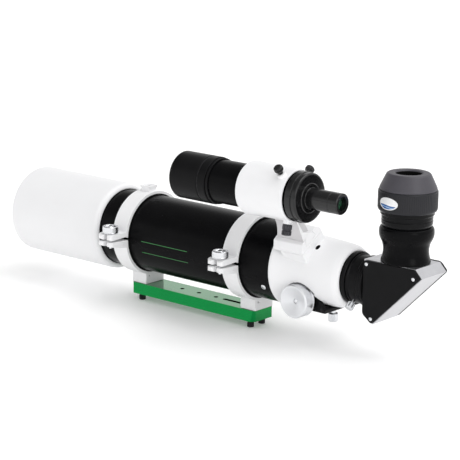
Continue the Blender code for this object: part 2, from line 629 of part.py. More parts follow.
def build_finder():
    angle = FINDER_ANGLE
    axis = around_axis(angle, FINDER_DISTANCE)
    across = Vector(sideways(angle)) * -1.0
    base = (0.0, 0.0, AXIS_Z)
    radial_side = frame_of((1.0, 0.0, 0.0), outward(angle))
    radial_end = frame_of(across, outward(angle))

    shoe_rim = [
        (-22.0, SHOE_BASE), (22.0, SHOE_BASE), (22.0, 54.0), (16.0, SHOE_TOP), (-16.0, SHOE_TOP),
        (-22.0, 54.0),
    ]
    shoe_middle = (SHOE_X[0] + SHOE_X[1]) / 2.0
    shoe = sheet("finder_shoe", shoe_rim, SHOE_X[1] - SHOE_X[0], (shoe_middle, 0.0, AXIS_Z), radial_end,
                 "cast_white")
    channel = [(-10.6, SHOE_FLOOR), (10.6, SHOE_FLOOR), (7.8, SHOE_FLOOR + 10.0), (-7.8, SHOE_FLOOR + 10.0)]
    cut(shoe, sheet("shoe_channel_cut", channel, 200.0, (180.0, 0.0, AXIS_Z), radial_end))

    ring_low, ring_high = BRACKET_RING_X
    ring_bottom = FINDER_DISTANCE - 30.5
    bracket = turned("finder_bracket", [
        (31.0, ring_high), (31.2, ring_high - 0.8), (32.4, ring_low + 0.8), (32.0, ring_low),
        (29.2, ring_low), (29.2, ring_high),
    ], axis, ALONG_X, "white_enamel", MEDIUM)
    foot = sheet("bracket_foot_form", [
        (-10.2, 53.4), (10.2, 53.4), (7.5, 62.7), (4.6, 62.9), (4.6, 64.4), (-6.5, 64.4), (-6.5, 62.9),
        (-7.5, 62.7),
    ], 40.0, (181.0, 0.0, AXIS_Z), radial_end)
    stalk = sheet("bracket_stalk_form", [
        (160.0, 62.4), (200.5, 62.4), (201.0, ring_bottom), (158.0, ring_bottom), (165.0, 96.0),
        (167.0, 88.0), (164.5, 76.0),
    ], 40.0, base, radial_side)
    stalk_end = sheet("stalk_end_form", [
        (-11.3, 60.0), (5.5, 60.0), (5.5, 106.0), (-5.2, 106.0), (-7.0, 92.0),
    ], 90.0, (180.0, 0.0, AXIS_Z), radial_end)
    combine(stalk, stalk_end, "INTERSECT")
    cut(stalk, sheet("stalk_recess_cut", [
        (-4.8, 71.5), (8.0, 61.0), (8.0, 99.0), (-4.4, 99.0), (-5.6, 92.0),
    ], 6.0, (200.5, 0.0, AXIS_Z), radial_end))
    screw_ways = {
        "finder_adjust_screw_near": math.radians(36.0),
        "finder_adjust_screw_far": math.radians(-54.0),
        "finder_spring_plunger": math.radians(171.0),
    }
    bosses = []
    for name, turn in screw_ways.items():
        bosses.append(rod(name + "_boss_form", 5.4, 30.2, 35.0, (206.0, axis[1], axis[2]),
                          facing(outward(turn)), None, FINE))
    join(bracket, foot, stalk, *bosses)

    for name, turn in screw_ways.items():
        spot = (206.0, axis[1], axis[2])
        way = facing(outward(turn))
        cut(bracket, rod(name + "_cut", 2.4, 20.0, 40.0, spot, way))
        if name.endswith("plunger"):
            outline = [
                (0.0, 48.5), (5.3, 48.5), (5.9, 47.9), (5.9, 35.3), (2.0, 35.3), (2.0, 26.9), (0.0, 26.9),
            ]
            material = "chrome"
        else:
            outline = [
                (0.0, 46.0), (4.6, 46.0), (5.6, 45.0), (5.6, 40.4), (4.8, 39.4), (3.2, 38.6), (3.2, 35.3),
                (2.0, 35.3), (2.0, 26.9), (0.0, 26.9),
            ]
            material = "black_gloss"
        screw = turned(name, outline, spot, way, material, SMALL)
        parent_to(bracket, screw)

    clamp_spot = Vector(base) + Vector(outward(angle)) * 57.5 + Vector((164.0, 0.0, 0.0))
    way = facing(across)
    cut(shoe, rod("shoe_screw_cut", 2.4, 5.0, 30.0, clamp_spot, way))
    turned("finder_shoe_screw", [
        (0.0, 32.0), (5.4, 32.0), (6.3, 31.1), (6.3, 23.3), (5.6, 22.4), (1.9, 22.4), (1.9, 13.2),
        (0.0, 13.2),
    ], clamp_spot, way, "chrome", FINE)

    finder = turned("finder_tube", [
        (25.0, 219.0), (FINDER_TUBE_R, 219.0), (FINDER_TUBE_R, 86.0), (25.0, 86.0),
    ], axis, ALONG_X, "black_gloss", MEDIUM)
    lock = tube("finder_lock_ring", 28.3, FINDER_TUBE_R + GAP, 96.4, 100.0, axis, ALONG_X, "black_satin")
    dew_cap = turned("finder_objective_cell", [
        (FINDER_TUBE_R + GAP, 95.6), (28.4, 95.6), (29.1, 94.8), (29.1, 84.6), (28.2, 83.9), (28.2, 82.9),
        (29.1, 82.2), (29.1, FINDER_FRONT_X + 1.4), (28.3, FINDER_FRONT_X), (27.0, FINDER_FRONT_X),
        (26.4, FINDER_FRONT_X + 1.0), (26.4, 68.0), (25.2, 68.0), (25.2, 85.0), (FINDER_TUBE_R + GAP, 85.0),
    ], axis, ALONG_X, "black_satin", MEDIUM)
    lens = turned("finder_objective_lens", [
        (0.0, 79.0), (15.0, 78.6), (24.9, 77.6), (24.9, 73.0), (15.0, 70.4), (0.0, 69.4),
    ], axis, ALONG_X, "coated_glass", MEDIUM)
    rear_cell = turned("finder_rear_cell", [
        (13.5, 235.2), (17.0, 235.2), (17.6, 234.4), (27.6, 234.4), (29.6, 232.6), (29.6, 227.4),
        (30.4, 226.6), (30.4, 219.6), (29.6, 218.8), (FINDER_TUBE_R + GAP, 218.8),
        (FINDER_TUBE_R + GAP, 219.4), (13.5, 219.4),
    ], axis, ALONG_X, "black_gloss", MEDIUM)
    eyepiece = turned("finder_eyepiece", [
        (8.0, 281.0), (11.6, 281.0), (12.6, 280.0), (12.6, 236.6), (13.1, 236.2), (13.1, 222.0), (9.6, 222.0),
        (9.6, 274.0), (8.0, 275.0),
    ], axis, ALONG_X, "black_gloss", MEDIUM)
    eye_lens = turned("finder_eye_lens", [
        (0.0, 273.2), (9.2, 272.6), (9.2, 268.8), (0.0, 268.0),
    ], axis, ALONG_X, "coated_glass", FINE)
    parent_to(dew_cap, lens)
    parent_to(bracket, finder, lock, dew_cap, rear_cell, eyepiece, eye_lens)


def shade_round_pieces():
    for piece in PARTS.objects:
        piece.data.shade_smooth()
        piece.data.set_sharp_from_angle(angle=math.radians(32.0))


def main():
    main_tube = build_tube()
    for which in RING_X:
        build_ring(which)
    build_bar()
    build_focuser(main_tube)
    drawtube = build_drawtube()
    diagonal = build_diagonal(drawtube)
    build_eyepiece(diagonal)
    build_finder()
    shade_round_pieces()


clear_scene()
PARTS = make_collection("refractor_telescope")
CUTTERS = make_collection("cutters")
main()
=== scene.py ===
import json
import math

import bmesh
import bpy
from mathutils import Matrix, Vector


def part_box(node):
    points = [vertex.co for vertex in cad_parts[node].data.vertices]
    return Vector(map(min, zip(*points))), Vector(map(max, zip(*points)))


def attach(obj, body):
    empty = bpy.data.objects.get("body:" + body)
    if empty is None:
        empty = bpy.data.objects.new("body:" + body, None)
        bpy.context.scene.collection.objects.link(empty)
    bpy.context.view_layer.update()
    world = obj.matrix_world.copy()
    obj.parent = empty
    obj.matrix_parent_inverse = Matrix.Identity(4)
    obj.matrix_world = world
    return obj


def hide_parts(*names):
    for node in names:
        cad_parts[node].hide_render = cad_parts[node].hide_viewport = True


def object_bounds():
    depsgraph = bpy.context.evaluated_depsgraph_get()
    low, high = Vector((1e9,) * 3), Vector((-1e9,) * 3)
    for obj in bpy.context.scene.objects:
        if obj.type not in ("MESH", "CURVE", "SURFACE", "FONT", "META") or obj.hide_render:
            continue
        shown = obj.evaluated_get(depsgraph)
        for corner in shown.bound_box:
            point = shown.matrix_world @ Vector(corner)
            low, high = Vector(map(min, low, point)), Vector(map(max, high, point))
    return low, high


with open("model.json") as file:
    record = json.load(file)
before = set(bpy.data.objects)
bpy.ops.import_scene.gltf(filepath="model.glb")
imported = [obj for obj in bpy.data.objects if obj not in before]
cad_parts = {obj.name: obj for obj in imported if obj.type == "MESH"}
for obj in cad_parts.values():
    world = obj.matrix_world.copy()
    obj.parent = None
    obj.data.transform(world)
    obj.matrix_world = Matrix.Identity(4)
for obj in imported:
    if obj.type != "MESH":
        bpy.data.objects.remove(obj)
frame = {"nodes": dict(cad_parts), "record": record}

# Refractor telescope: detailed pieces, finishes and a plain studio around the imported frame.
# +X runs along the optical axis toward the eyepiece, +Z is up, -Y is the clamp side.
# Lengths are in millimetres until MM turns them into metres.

CAD_LOW, CAD_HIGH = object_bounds()
MM = 0.001
GAP = 0.3
BODY_OF = {node: body for body, nodes in frame["record"]["behaviour"]["bodies"].items() for node in nodes}

# Sides of round pieces, by size
LARGE = 192
MEDIUM = 128
FINE = 64
SMALL = 40


# ---------------------------------------------------------------- positions from the frame

def centre(node):
    low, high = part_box(node)
    return (low + high) / (2.0 * MM)


def low_high(node):
    low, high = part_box(node)
    return low / MM, high / MM


def on_x_axis(node):
    """Point at x = 0 on the axis of a node that is round about X."""
    middle = centre(node)
    return Vector((0.0, middle.y, middle.z))


def on_z_axis(node):
    middle = centre(node)
    return Vector((middle.x, middle.y, 0.0))


OPTICAL_AXIS = on_x_axis("main_tube")
AXIS_Z = OPTICAL_AXIS.z
EYE_AXIS = on_z_axis("eyepiece_cup")
EYE_X = EYE_AXIS.x
FINDER_AXIS = on_x_axis("finder_tube")
RING_X = {"front": centre("front_ring_lower").x, "rear": centre("rear_ring_lower").x}
SHAFT_X = centre("focus_knob_near").x
SHAFT_Z = centre("focus_knob_near").z
BAR_HIGH = low_high("dovetail_bar")[1]

# Driving dimensions, the CAD's except for the lug ends and the split's flare
TUBE_R = 50.0
RING_R = 55.4
RING_BORE_R = 52.0
RING_HALF_WIDTH = 12.0
SPLIT_LOW_Z = 81.3
SPLIT_HIGH_Z = 83.7
CLAMP_Y = -72.0
HINGE_Y = 60.8
HINGE_Z = 82.5
KNUCKLE_R = 4.5
SNOUT_X = 245.5
FOCUSER_BORE_R = 31.0
KNOB_R = 20.5
DIAGONAL_X = 276.0
DIAGONAL_TOP_Z = 114.0
DIAGONAL_HALF_WIDTH = 25.2
PLATE_THICKNESS = 2.5
NOSE_R = 25.4
HOLDER_TOP_Z = 157.0
FINDER_ANGLE = math.atan2(-FINDER_AXIS.y, FINDER_AXIS.z - AXIS_Z)
FINDER_DISTANCE = math.hypot(FINDER_AXIS.y, FINDER_AXIS.z - AXIS_Z)
FINDER_TUBE_R = 26.5
SHOE_X = (158.0, 201.0)
SHOE_TOP = 62.0
SHOE_BASE = 50.3
LUG_END_Y = -83.6
PRONG_TIP_Y = -84.0
SPLIT_FLARE = 1.3       # how far each lug's face stands back from the split where it meets the tube
FOOT_HALF_WIDTH = 17.0
BOLT_Y = 11.0
BAR_HOLE_X = (-32.6, -3.6, 25.4)
TUBE_SCREW_X = 140.0
TUBE_SCREW_DEGREES = (117.5, -2.5, -122.5)
ADAPTER_SCREW_X = 260.6
TENSION_SCREW_X = 214.0
FINDER_SCREW_X = 206.0

ALONG_Z = Vector((0.0, 0.0, 1.0))
ALONG_X = Vector((1.0, 0.0, 0.0))
ALONG_Y = Vector((0.0, 1.0, 0.0))


def around_axis(angle, distance=0.0, x=0.0):
    """Point at an angle from +Z toward -Y about the optical axis."""
    return Vector((x, -distance * math.sin(angle), AXIS_Z + distance * math.cos(angle)))


def outward(angle):
    return Vector((0.0, -math.sin(angle), math.cos(angle)))


def sideways(angle):
    return Vector((0.0, math.cos(angle), math.sin(angle)))


def axes(x_axis, y_axis):
    """Rotation whose local X and Y run along two given directions."""
    x_axis = Vector(x_axis)
    y_axis = Vector(y_axis)
    return Matrix((x_axis, y_axis, x_axis.cross(y_axis))).transposed()


SIDE_VIEW = axes(ALONG_X, ALONG_Z)
END_VIEW = axes(ALONG_Y, ALONG_Z)


# ---------------------------------------------------------------- finishes

class Graph:
    """Short way to add and link shader nodes."""

    def __init__(self, name):
        self.material = bpy.data.materials.new(name)
        self.material.use_nodes = True
        self.tree = self.material.node_tree
        self.shader = self.tree.nodes["Principled BSDF"]
        self.coords = self.add("ShaderNodeTexCoord").outputs["Object"]

    def add(self, kind, **settings):
        node = self.tree.nodes.new(kind)
        for key, value in settings.items():
            setattr(node, key, value)
        return node

    def feed(self, socket, value):
        if isinstance(value, bpy.types.NodeSocket):
            self.tree.links.new(value, socket)
        else:
            socket.default_value = value

    def maths(self, operation, first, second=0.0, third=0.0):
        node = self.add("ShaderNodeMath", operation=operation)
        for socket, value in zip(node.inputs, (first, second, third)):
            self.feed(socket, value)
        return node.outputs[0]

    def noise(self, vector, scale, detail=3.0, roughness=0.5):
        node = self.add("ShaderNodeTexNoise")
        self.feed(node.inputs["Vector"], vector)
        node.inputs["Scale"].default_value = scale
        node.inputs["Detail"].default_value = detail
        node.inputs["Roughness"].default_value = roughness
        return node.outputs["Fac"]

    def stretched(self, scale):
        node = self.add("ShaderNodeMapping")
        self.feed(node.inputs["Vector"], self.coords)
        node.inputs["Scale"].default_value = scale
        return node.outputs["Vector"]

    def split(self):
        node = self.add("ShaderNodeSeparateXYZ")
        self.feed(node.inputs[0], self.coords)
        return node.outputs

    def lathe_coords(self):
        """Radius and height about the piece's own turning axis, so that noise makes rings."""
        x, y, z = self.split()
        squares = self.maths("ADD", self.maths("MULTIPLY", x, x), self.maths("MULTIPLY", y, y))
        radius = self.maths("SQRT", squares)
        node = self.add("ShaderNodeCombineXYZ")
        self.feed(node.inputs[0], radius)
        self.feed(node.inputs[2], z)
        return node.outputs[0]

    def ranged(self, value, low, high, from_low=0.3, from_high=0.7):
        node = self.add("ShaderNodeMapRange")
        self.feed(node.inputs["Value"], value)
        node.inputs["From Min"].default_value = from_low
        node.inputs["From Max"].default_value = from_high
        node.inputs["To Min"].default_value = low
        node.inputs["To Max"].default_value = high
        return node.outputs["Result"]

    def mixed(self, amount, first, second):
        node = self.add("ShaderNodeMix", data_type="RGBA")
        self.feed(node.inputs["Factor"], amount)
        for socket, value in ((node.inputs["A"], first), (node.inputs["B"], second)):
            self.feed(socket, value if isinstance(value, bpy.types.NodeSocket) else (*value, 1.0))
        return node.outputs["Result"]

    def edge_mask(self, low, high):
        """1 on sharp convex edges, broken up by noise."""
        geometry = self.add("ShaderNodeNewGeometry")
        edge = self.ranged(geometry.outputs["Pointiness"], 0.0, 1.0, low, high)
        return self.maths("MULTIPLY", edge, self.ranged(self.noise(self.coords, 300.0), 0.0, 1.0, 0.4, 0.6))


def finish(name, colour, roughness, metallic=0.0, grain="peel", scale=900.0, height=0.02, mottle=0.05,
           swing=0.08, worn=None, wear=0.4, **fixed):
    """One finish: colour mottle, grain in bump and roughness, and worn edges."""
    graph = Graph(name)
    if grain == "lathe":
        pattern = graph.noise(graph.lathe_coords(), scale, 4.0, 0.7)
    elif grain == "brushed":
        pattern = graph.noise(graph.stretched((0.03, 1.0, 1.0)), scale, 4.0, 0.7)
    elif grain == "felt":
        pattern = graph.noise(graph.coords, scale, 8.0, 0.8)
    else:
        pattern = graph.noise(graph.coords, scale, 2.0, 0.4)
    broad = graph.noise(graph.coords, 28.0, 4.0, 0.6)
    dark = [c * (1.0 - mottle) for c in colour]
    light = [min(1.0, c * (1.0 + mottle)) for c in colour]
    shade = graph.mixed(graph.ranged(broad, 0.0, 1.0), dark, light)
    if worn is not None:
        shade = graph.mixed(graph.maths("MULTIPLY", graph.edge_mask(0.53, 0.62), wear), shade, worn)
    graph.feed(graph.shader.inputs["Base Color"], shade)
    smudge = graph.maths("ADD", graph.maths("MULTIPLY", pattern, 0.6), graph.maths("MULTIPLY", broad, 0.4))
    graph.feed(graph.shader.inputs["Roughness"], graph.ranged(smudge, roughness - swing, roughness + swing))
    graph.shader.inputs["Metallic"].default_value = metallic
    bump = graph.add("ShaderNodeBump")
    bump.inputs["Strength"].default_value = 1.0
    bump.inputs["Distance"].default_value = height * MM
    graph.feed(bump.inputs["Height"], pattern)
    graph.feed(graph.shader.inputs["Normal"], bump.outputs["Normal"])
    for socket, value in fixed.items():
        graph.shader.inputs[socket.replace("_", " ")].default_value = value
    graph.material.diffuse_color = (*colour, 1.0)
    return graph.material


def badge_finish():
    """White oval plate with a blue lower part and a paler wave across it, in the plate's own XY."""
    graph = Graph("badge_enamel")
    x, y, z = graph.split()
    wave = graph.maths("MULTIPLY", graph.maths("SINE", graph.maths("MULTIPLY", x, 190.0)), 0.0007)
    depth = graph.maths("SUBTRACT", graph.maths("ADD", y, wave), -0.0016)
    blue = graph.ranged(depth, 1.0, 0.0, -0.0002, 0.0002)
    pale = graph.ranged(graph.maths("ABSOLUTE", graph.maths("ADD", depth, 0.0023)), 1.0, 0.0, 0.0003, 0.0006)
    across = graph.maths("DIVIDE", x, 0.0138)
    along = graph.maths("DIVIDE", y, 0.0072)
    reach = graph.maths("ADD", graph.maths("MULTIPLY", across, across), graph.maths("MULTIPLY", along, along))
    inside = graph.ranged(reach, 1.0, 0.0, 0.74, 0.80)
    grime = graph.ranged(graph.noise(graph.coords, 400.0), 0.0, 1.0)
    white = graph.mixed(grime, (0.78, 0.79, 0.80), (0.86, 0.86, 0.86))
    lower = graph.mixed(pale, (0.02, 0.10, 0.32), (0.30, 0.47, 0.68))
    colour = graph.mixed(graph.maths("MULTIPLY", blue, inside), white, lower)
    graph.feed(graph.shader.inputs["Base Color"], colour)
    graph.feed(graph.shader.inputs["Roughness"], graph.ranged(grime, 0.18, 0.26, 0.0, 1.0))
    graph.shader.inputs["Coat Weight"].default_value = 0.6
    return graph.material


FINISHES = {
    "white_enamel": finish("white_enamel", (0.83, 0.83, 0.84), 0.32, scale=1100.0, height=0.010, mottle=0.008,
                           swing=0.05, worn=(0.78, 0.78, 0.78), wear=0.12, Specular_IOR_Level=0.3),
    "cast_white": finish("cast_white", (0.84, 0.84, 0.85), 0.40, scale=1400.0, height=0.03, mottle=0.012,
                         worn=(0.70, 0.70, 0.70), wear=0.2, Specular_IOR_Level=0.3),
    # Grey rough cast finish: real cast grain, and its darker grey is painted shade on the finder bracket's
    # stalk side and end recess
    "cast_rough_and_shade": finish("cast_rough_and_shade", (0.56, 0.55, 0.56), 0.6, scale=900.0, height=0.12, mottle=0.06,
                         Specular_IOR_Level=0.2),
    "black_tube": finish("black_tube", (0.0030, 0.0030, 0.0034), 0.24, scale=1500.0, height=0.006,
                         mottle=0.25,
                         swing=0.04, worn=(0.02, 0.02, 0.02), Specular_IOR_Level=0.06),
    "black_gloss": finish("black_gloss", (0.004, 0.004, 0.0045), 0.13, scale=1500.0, height=0.004,
                          mottle=0.25,
                          swing=0.04, worn=(0.03, 0.03, 0.03), Specular_IOR_Level=0.11),
    "black_polish": finish("black_polish", (0.006, 0.006, 0.0065), 0.16, grain="lathe", scale=1500.0,
                           height=0.003, mottle=0.2, swing=0.04, worn=(0.03, 0.03, 0.03),
                           Specular_IOR_Level=0.42),
    "black_satin": finish("black_satin", (0.005, 0.005, 0.0055), 0.33, grain="lathe", scale=2600.0,
                          height=0.006,
                          mottle=0.2, worn=(0.04, 0.04, 0.04), wear=0.3, Specular_IOR_Level=0.09),
    "black_flat": finish("black_flat", (0.004, 0.004, 0.004), 0.85, scale=2500.0, height=0.05, mottle=0.3,
                         Specular_IOR_Level=0.08),
    "black_felt": finish("black_felt", (0.006, 0.006, 0.006), 0.93, grain="felt", scale=2400.0, height=0.15,
                         mottle=0.4, swing=0.05, Specular_IOR_Level=0.1, Sheen_Weight=0.1),
    "green_anodised": finish("green_anodised", (0.0, 0.22, 0.045), 0.18, 1.0, grain="brushed", scale=900.0,
                             height=0.002, mottle=0.05, swing=0.08, Coat_Weight=1.0, Coat_IOR=1.18,
                             Coat_Roughness=0.10),
    "chrome": finish("chrome", (0.72, 0.73, 0.75), 0.14, 1.0, grain="lathe", scale=3000.0, height=0.003,
                     mottle=0.06, swing=0.05, worn=(0.92, 0.92, 0.93)),
    "smoked_chrome": finish("smoked_chrome", (0.06, 0.06, 0.065), 0.14, 1.0, grain="lathe", scale=3000.0,
                            height=0.004, mottle=0.1, swing=0.05, worn=(0.7, 0.7, 0.7)),
    "brushed_aluminium": finish("brushed_aluminium", (0.74, 0.75, 0.77), 0.34, 1.0, grain="lathe",
                                scale=1900.0,
                                height=0.003, mottle=0.04, swing=0.06, worn=(0.92, 0.92, 0.93)),
    "brushed_plate": finish("brushed_plate", (0.55, 0.55, 0.57), 0.34, 1.0, grain="brushed", scale=1900.0,
                            height=0.005, mottle=0.05, swing=0.06, worn=(0.85, 0.85, 0.86)),
    "dark_steel": finish("dark_steel", (0.012, 0.012, 0.014), 0.30, 0.4, grain="lathe", scale=2000.0,
                         height=0.006,
                         mottle=0.15, worn=(0.15, 0.15, 0.16), Specular_IOR_Level=0.3),
    "dark_grey": finish("dark_grey", (0.014, 0.014, 0.017), 0.40, scale=1800.0, height=0.010, mottle=0.1,
                        worn=(0.06, 0.06, 0.065), Specular_IOR_Level=0.25),
    "soft_rubber": finish("soft_rubber", (0.047, 0.044, 0.054), 0.48, scale=2200.0, height=0.02, mottle=0.08,
                          Specular_IOR_Level=0.5),
    "coated_glass": finish("coated_glass", (0.55, 0.72, 0.64), 0.04, scale=200.0, height=0.0002, mottle=0.05,
                           swing=0.02, Transmission_Weight=0.85, IOR=1.52, Coat_Weight=1.0,
                           Coat_Tint=(0.55, 0.85, 0.68, 1.0)),
    "silvered_glass": finish("silvered_glass", (0.88, 0.89, 0.90), 0.04, 1.0, scale=200.0, height=0.0002,
                             mottle=0.02, swing=0.015),
    "pinstripe_green": finish("pinstripe_green", (0.02, 0.20, 0.04), 0.40, scale=2000.0, height=0.01,
                              mottle=0.12),
    "badge_enamel": badge_finish(),
}


# ---------------------------------------------------------------- shapes

def settle(piece, finish_name, node, stands_for, lining=None):
    """Give a piece its finish and let it ride with the body of a CAD node."""
    piece.data.materials.clear()
    piece.data.materials.append(FINISHES[finish_name])
    if lining is not None:
        piece.data.materials.append(FINISHES[lining])
    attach(piece, BODY_OF[node])
    if stands_for:
        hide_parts(node)
    return piece


def smooth(piece, angle=38.0):
    piece.data.shade_smooth()
    piece.data.set_sharp_from_angle(angle=math.radians(angle))
    weights = piece.modifiers.new("Face normals", "WEIGHTED_NORMAL")
    weights.keep_sharp = True
    weights.weight = 80


def filleted(outline, radius, closed, steps=4):
    """Corners of an outline replaced by short curves.  Extra values of a point are kept."""
    points = []
    count = len(outline)
    for i, corner in enumerate(outline):
        if not closed and i in (0, count - 1):
            points.append(corner)
            continue
        here = Vector(corner[:2])
        before = Vector(outline[i - 1][:2]) - here
        after = Vector(outline[(i + 1) % count][:2]) - here
        reach = min(radius, 0.42 * before.length, 0.42 * after.length)
        turn = math.pi - before.angle(after)
        if turn < math.radians(9.0) or reach < 0.02:
            points.append(corner)
            continue
        before = before.normalized() * reach
        after = after.normalized() * reach
        for step in range(steps + 1):
            t = step / steps
            spot = here + before * (1.0 - t) ** 2 + after * t ** 2
            points.append((spot.x, spot.y, *corner[2:]))
    return points


def lathe_mesh(name, outline, segments, teeth, depth, round_to):
    """Solid of revolution.  A third value in a point is its share of the knurl."""
    closed = outline[0][0] > 0.0
    points = filleted(outline, round_to, closed) if round_to > 0.0 else list(outline)
    if teeth:
        segments = teeth * 4
    shape = bmesh.new()
    rings = []
    for point in points:
        radius, height = point[:2]
        share = point[2] if len(point) > 2 else 0.0
        if radius <= 0.0:
            rings.append([shape.verts.new((0.0, 0.0, height * MM))])
            continue
        ring = []
        for step in range(segments):
            angle = 2.0 * math.pi * step / segments
            sunk = radius - (depth * share if teeth and step % 4 in (2, 3) else 0.0)
            spot = (sunk * MM * math.cos(angle), sunk * MM * math.sin(angle), height * MM)
            ring.append(shape.verts.new(spot))
        rings.append(ring)
    pairs = list(zip(rings, rings[1:]))
    if closed:
        pairs.append((rings[-1], rings[0]))
    for upper, lower in pairs:
        for step in range(segments):
            after = (step + 1) % segments
            if len(upper) == 1 and len(lower) == 1:
                break
            if len(upper) == 1:
                shape.faces.new((upper[0], lower[step], lower[after]))
            elif len(lower) == 1:
                shape.faces.new((upper[step], lower[0], upper[after]))
            else:
                shape.faces.new((upper[step], lower[step], lower[after], upper[after]))
    bmesh.ops.recalc_face_normals(shape, faces=shape.faces)
    mesh = bpy.data.meshes.new(name)
    shape.to_mesh(mesh)
    shape.free()
    return mesh


def put(name, mesh, origin, rotation=None):
    piece = bpy.data.objects.new(name, mesh)
    bpy.context.scene.collection.objects.link(piece)
    matrix = Matrix.Translation(Vector(origin) * MM)
    if rotation is not None:
        matrix = matrix @ rotation.to_4x4()
    piece.matrix_world = matrix
    return piece


def facing(direction):
    return Vector(direction).to_track_quat("Z", "Y").to_matrix()


def turned(name, node, outline, origin, direction, finish_name, segments=MEDIUM, round_to=0.4, teeth=0,
           depth=0.35, stands_for=True, lining=None, lined_below=0.0, lined=None):
    """Turned piece that rides with a CAD node, and stands for it unless told otherwise."""
    mesh = lathe_mesh(name, outline, segments, teeth, depth, round_to)
    piece = put(name, mesh, origin, facing(direction))
    settle(piece, finish_name, node, stands_for, lining)
    if lining is not None:
        for face in mesh.polygons:
            radius = math.hypot(face.center.x, face.center.y) / MM
            if radius < lined_below if lined is None else lined(radius, face.center.z / MM):
                face.material_index = 1
    smooth(piece)
    return piece


def raw_turned(name, outline, origin, direction=ALONG_Z, segments=MEDIUM):
    return put(name, lathe_mesh(name, outline, segments, 0, 0.0, 0.0), origin, facing(direction))


def raw_rod(name, radius, low, high, origin, direction=ALONG_Z, segments=FINE):
    outline = [(0.0, high), (radius, high), (radius, low), (0.0, low)]
    return raw_turned(name, outline, origin, direction, segments)


def raw_prism(name, outline, low, high, origin=(0.0, 0.0, 0.0), rotation=None, taper=None):
    """Outline in local XY between two heights.  taper gives the outline at the upper height."""
    shape = bmesh.new()
    top = taper or outline
    rims = []
    for rim, height in ((outline, low), (top, high)):
        rims.append([shape.verts.new((x * MM, y * MM, height * MM)) for x, y in rim])
    shape.faces.new(list(reversed(rims[0])))
    shape.faces.new(rims[1])
    for i in range(len(outline)):
        j = (i + 1) % len(outline)
        shape.faces.new((rims[0][i], rims[0][j], rims[1][j], rims[1][i]))
    bmesh.ops.recalc_face_normals(shape, faces=shape.faces)
    mesh = bpy.data.meshes.new(name)
    shape.to_mesh(mesh)
    shape.free()
    return put(name, mesh, origin, rotation)


def raw_block(name, low, high, origin=(0.0, 0.0, 0.0), rotation=None):
    outline = [(low[0], low[1]), (high[0], low[1]), (high[0], high[1]), (low[0], high[1])]
    return raw_prism(name, outline, low[2], high[2], origin, rotation)


def carve(piece, add=(), cut=(), common=()):
    """Join, cut and intersect with other raw shapes, then keep the result as plain mesh."""
    for others, operation in ((common, "INTERSECT"), (add, "UNION"), (cut, "DIFFERENCE")):
        for other in others:
            modifier = piece.modifiers.new(operation, "BOOLEAN")
            modifier.operation = operation
            modifier.object = other
            modifier.solver = "EXACT"
    bpy.context.view_layer.update()
    result = bpy.data.meshes.new_from_object(piece.evaluated_get(bpy.context.evaluated_depsgraph_get()))
    result.name = piece.name
    piece.modifiers.clear()
    piece.data = result
    for other in (*add, *cut, *common):
        bpy.data.objects.remove(other, do_unlink=True)
    return piece


def dressed(piece, node, finish_name, bevel=0.5, stands_for=True, angle=32.0, lining=None):
    """Round the edges of a raw shape, then settle it on its body."""
    settle(piece, finish_name, node, stands_for, lining)
    if bevel > 0.0:
        edges = piece.modifiers.new("Edges", "BEVEL")
        edges.width = bevel * MM
        edges.segments = 3
        edges.limit_method = "ANGLE"
        edges.angle_limit = math.radians(angle)
        edges.use_clamp_overlap = True
    smooth(piece)
    return piece


def arc(middle, radius, start_deg, end_deg, steps):
    points = []
    for step in range(steps + 1):
        angle = math.radians(start_deg + (end_deg - start_deg) * step / steps)
        points.append((middle[0] + radius * math.cos(angle), middle[1] + radius * math.sin(angle)))
    return points


def rounded(outline, radius, steps=6):
    return filleted([tuple(p) for p in outline], radius, True, steps)


def screw_head(name, node, origin, direction, radius, height, finish_name="chrome", slots=2, sink=0.45):
    """Domed screw head with a cross or hex recess, riding with a node."""
    dome = [
        (0.0, height), (radius * 0.5, height * 0.93), (radius * 0.85, height * 0.62),
        (radius, height * 0.25), (radius, -0.2), (0.0, -0.2),
    ]
    way = facing(direction)
    head = put(name, lathe_mesh(name, dome, FINE, 0, 0.0, 0.15), origin, way)
    floor = height * (1.0 - sink) - 0.1
    if slots == 2:
        long, thin = radius * 0.62, radius * 0.13
        cuts = [raw_block(name + "_slot_a", (-long, -thin, floor), (long, thin, height + 1.0), origin, way),
                raw_block(name + "_slot_b", (-thin, -long, floor), (thin, long, height + 1.0), origin, way)]
    else:
        cuts = [raw_turned(name + "_hex", [(0.0, height + 1.0), (radius * 0.5, height + 1.0),
                                           (radius * 0.5, floor), (0.0, floor)], origin, direction, 6)]
    carve(head, cut=cuts)
    settle(head, finish_name, node, False)
    smooth(head, 30.0)
    return head


# ---------------------------------------------------------------- optical tube

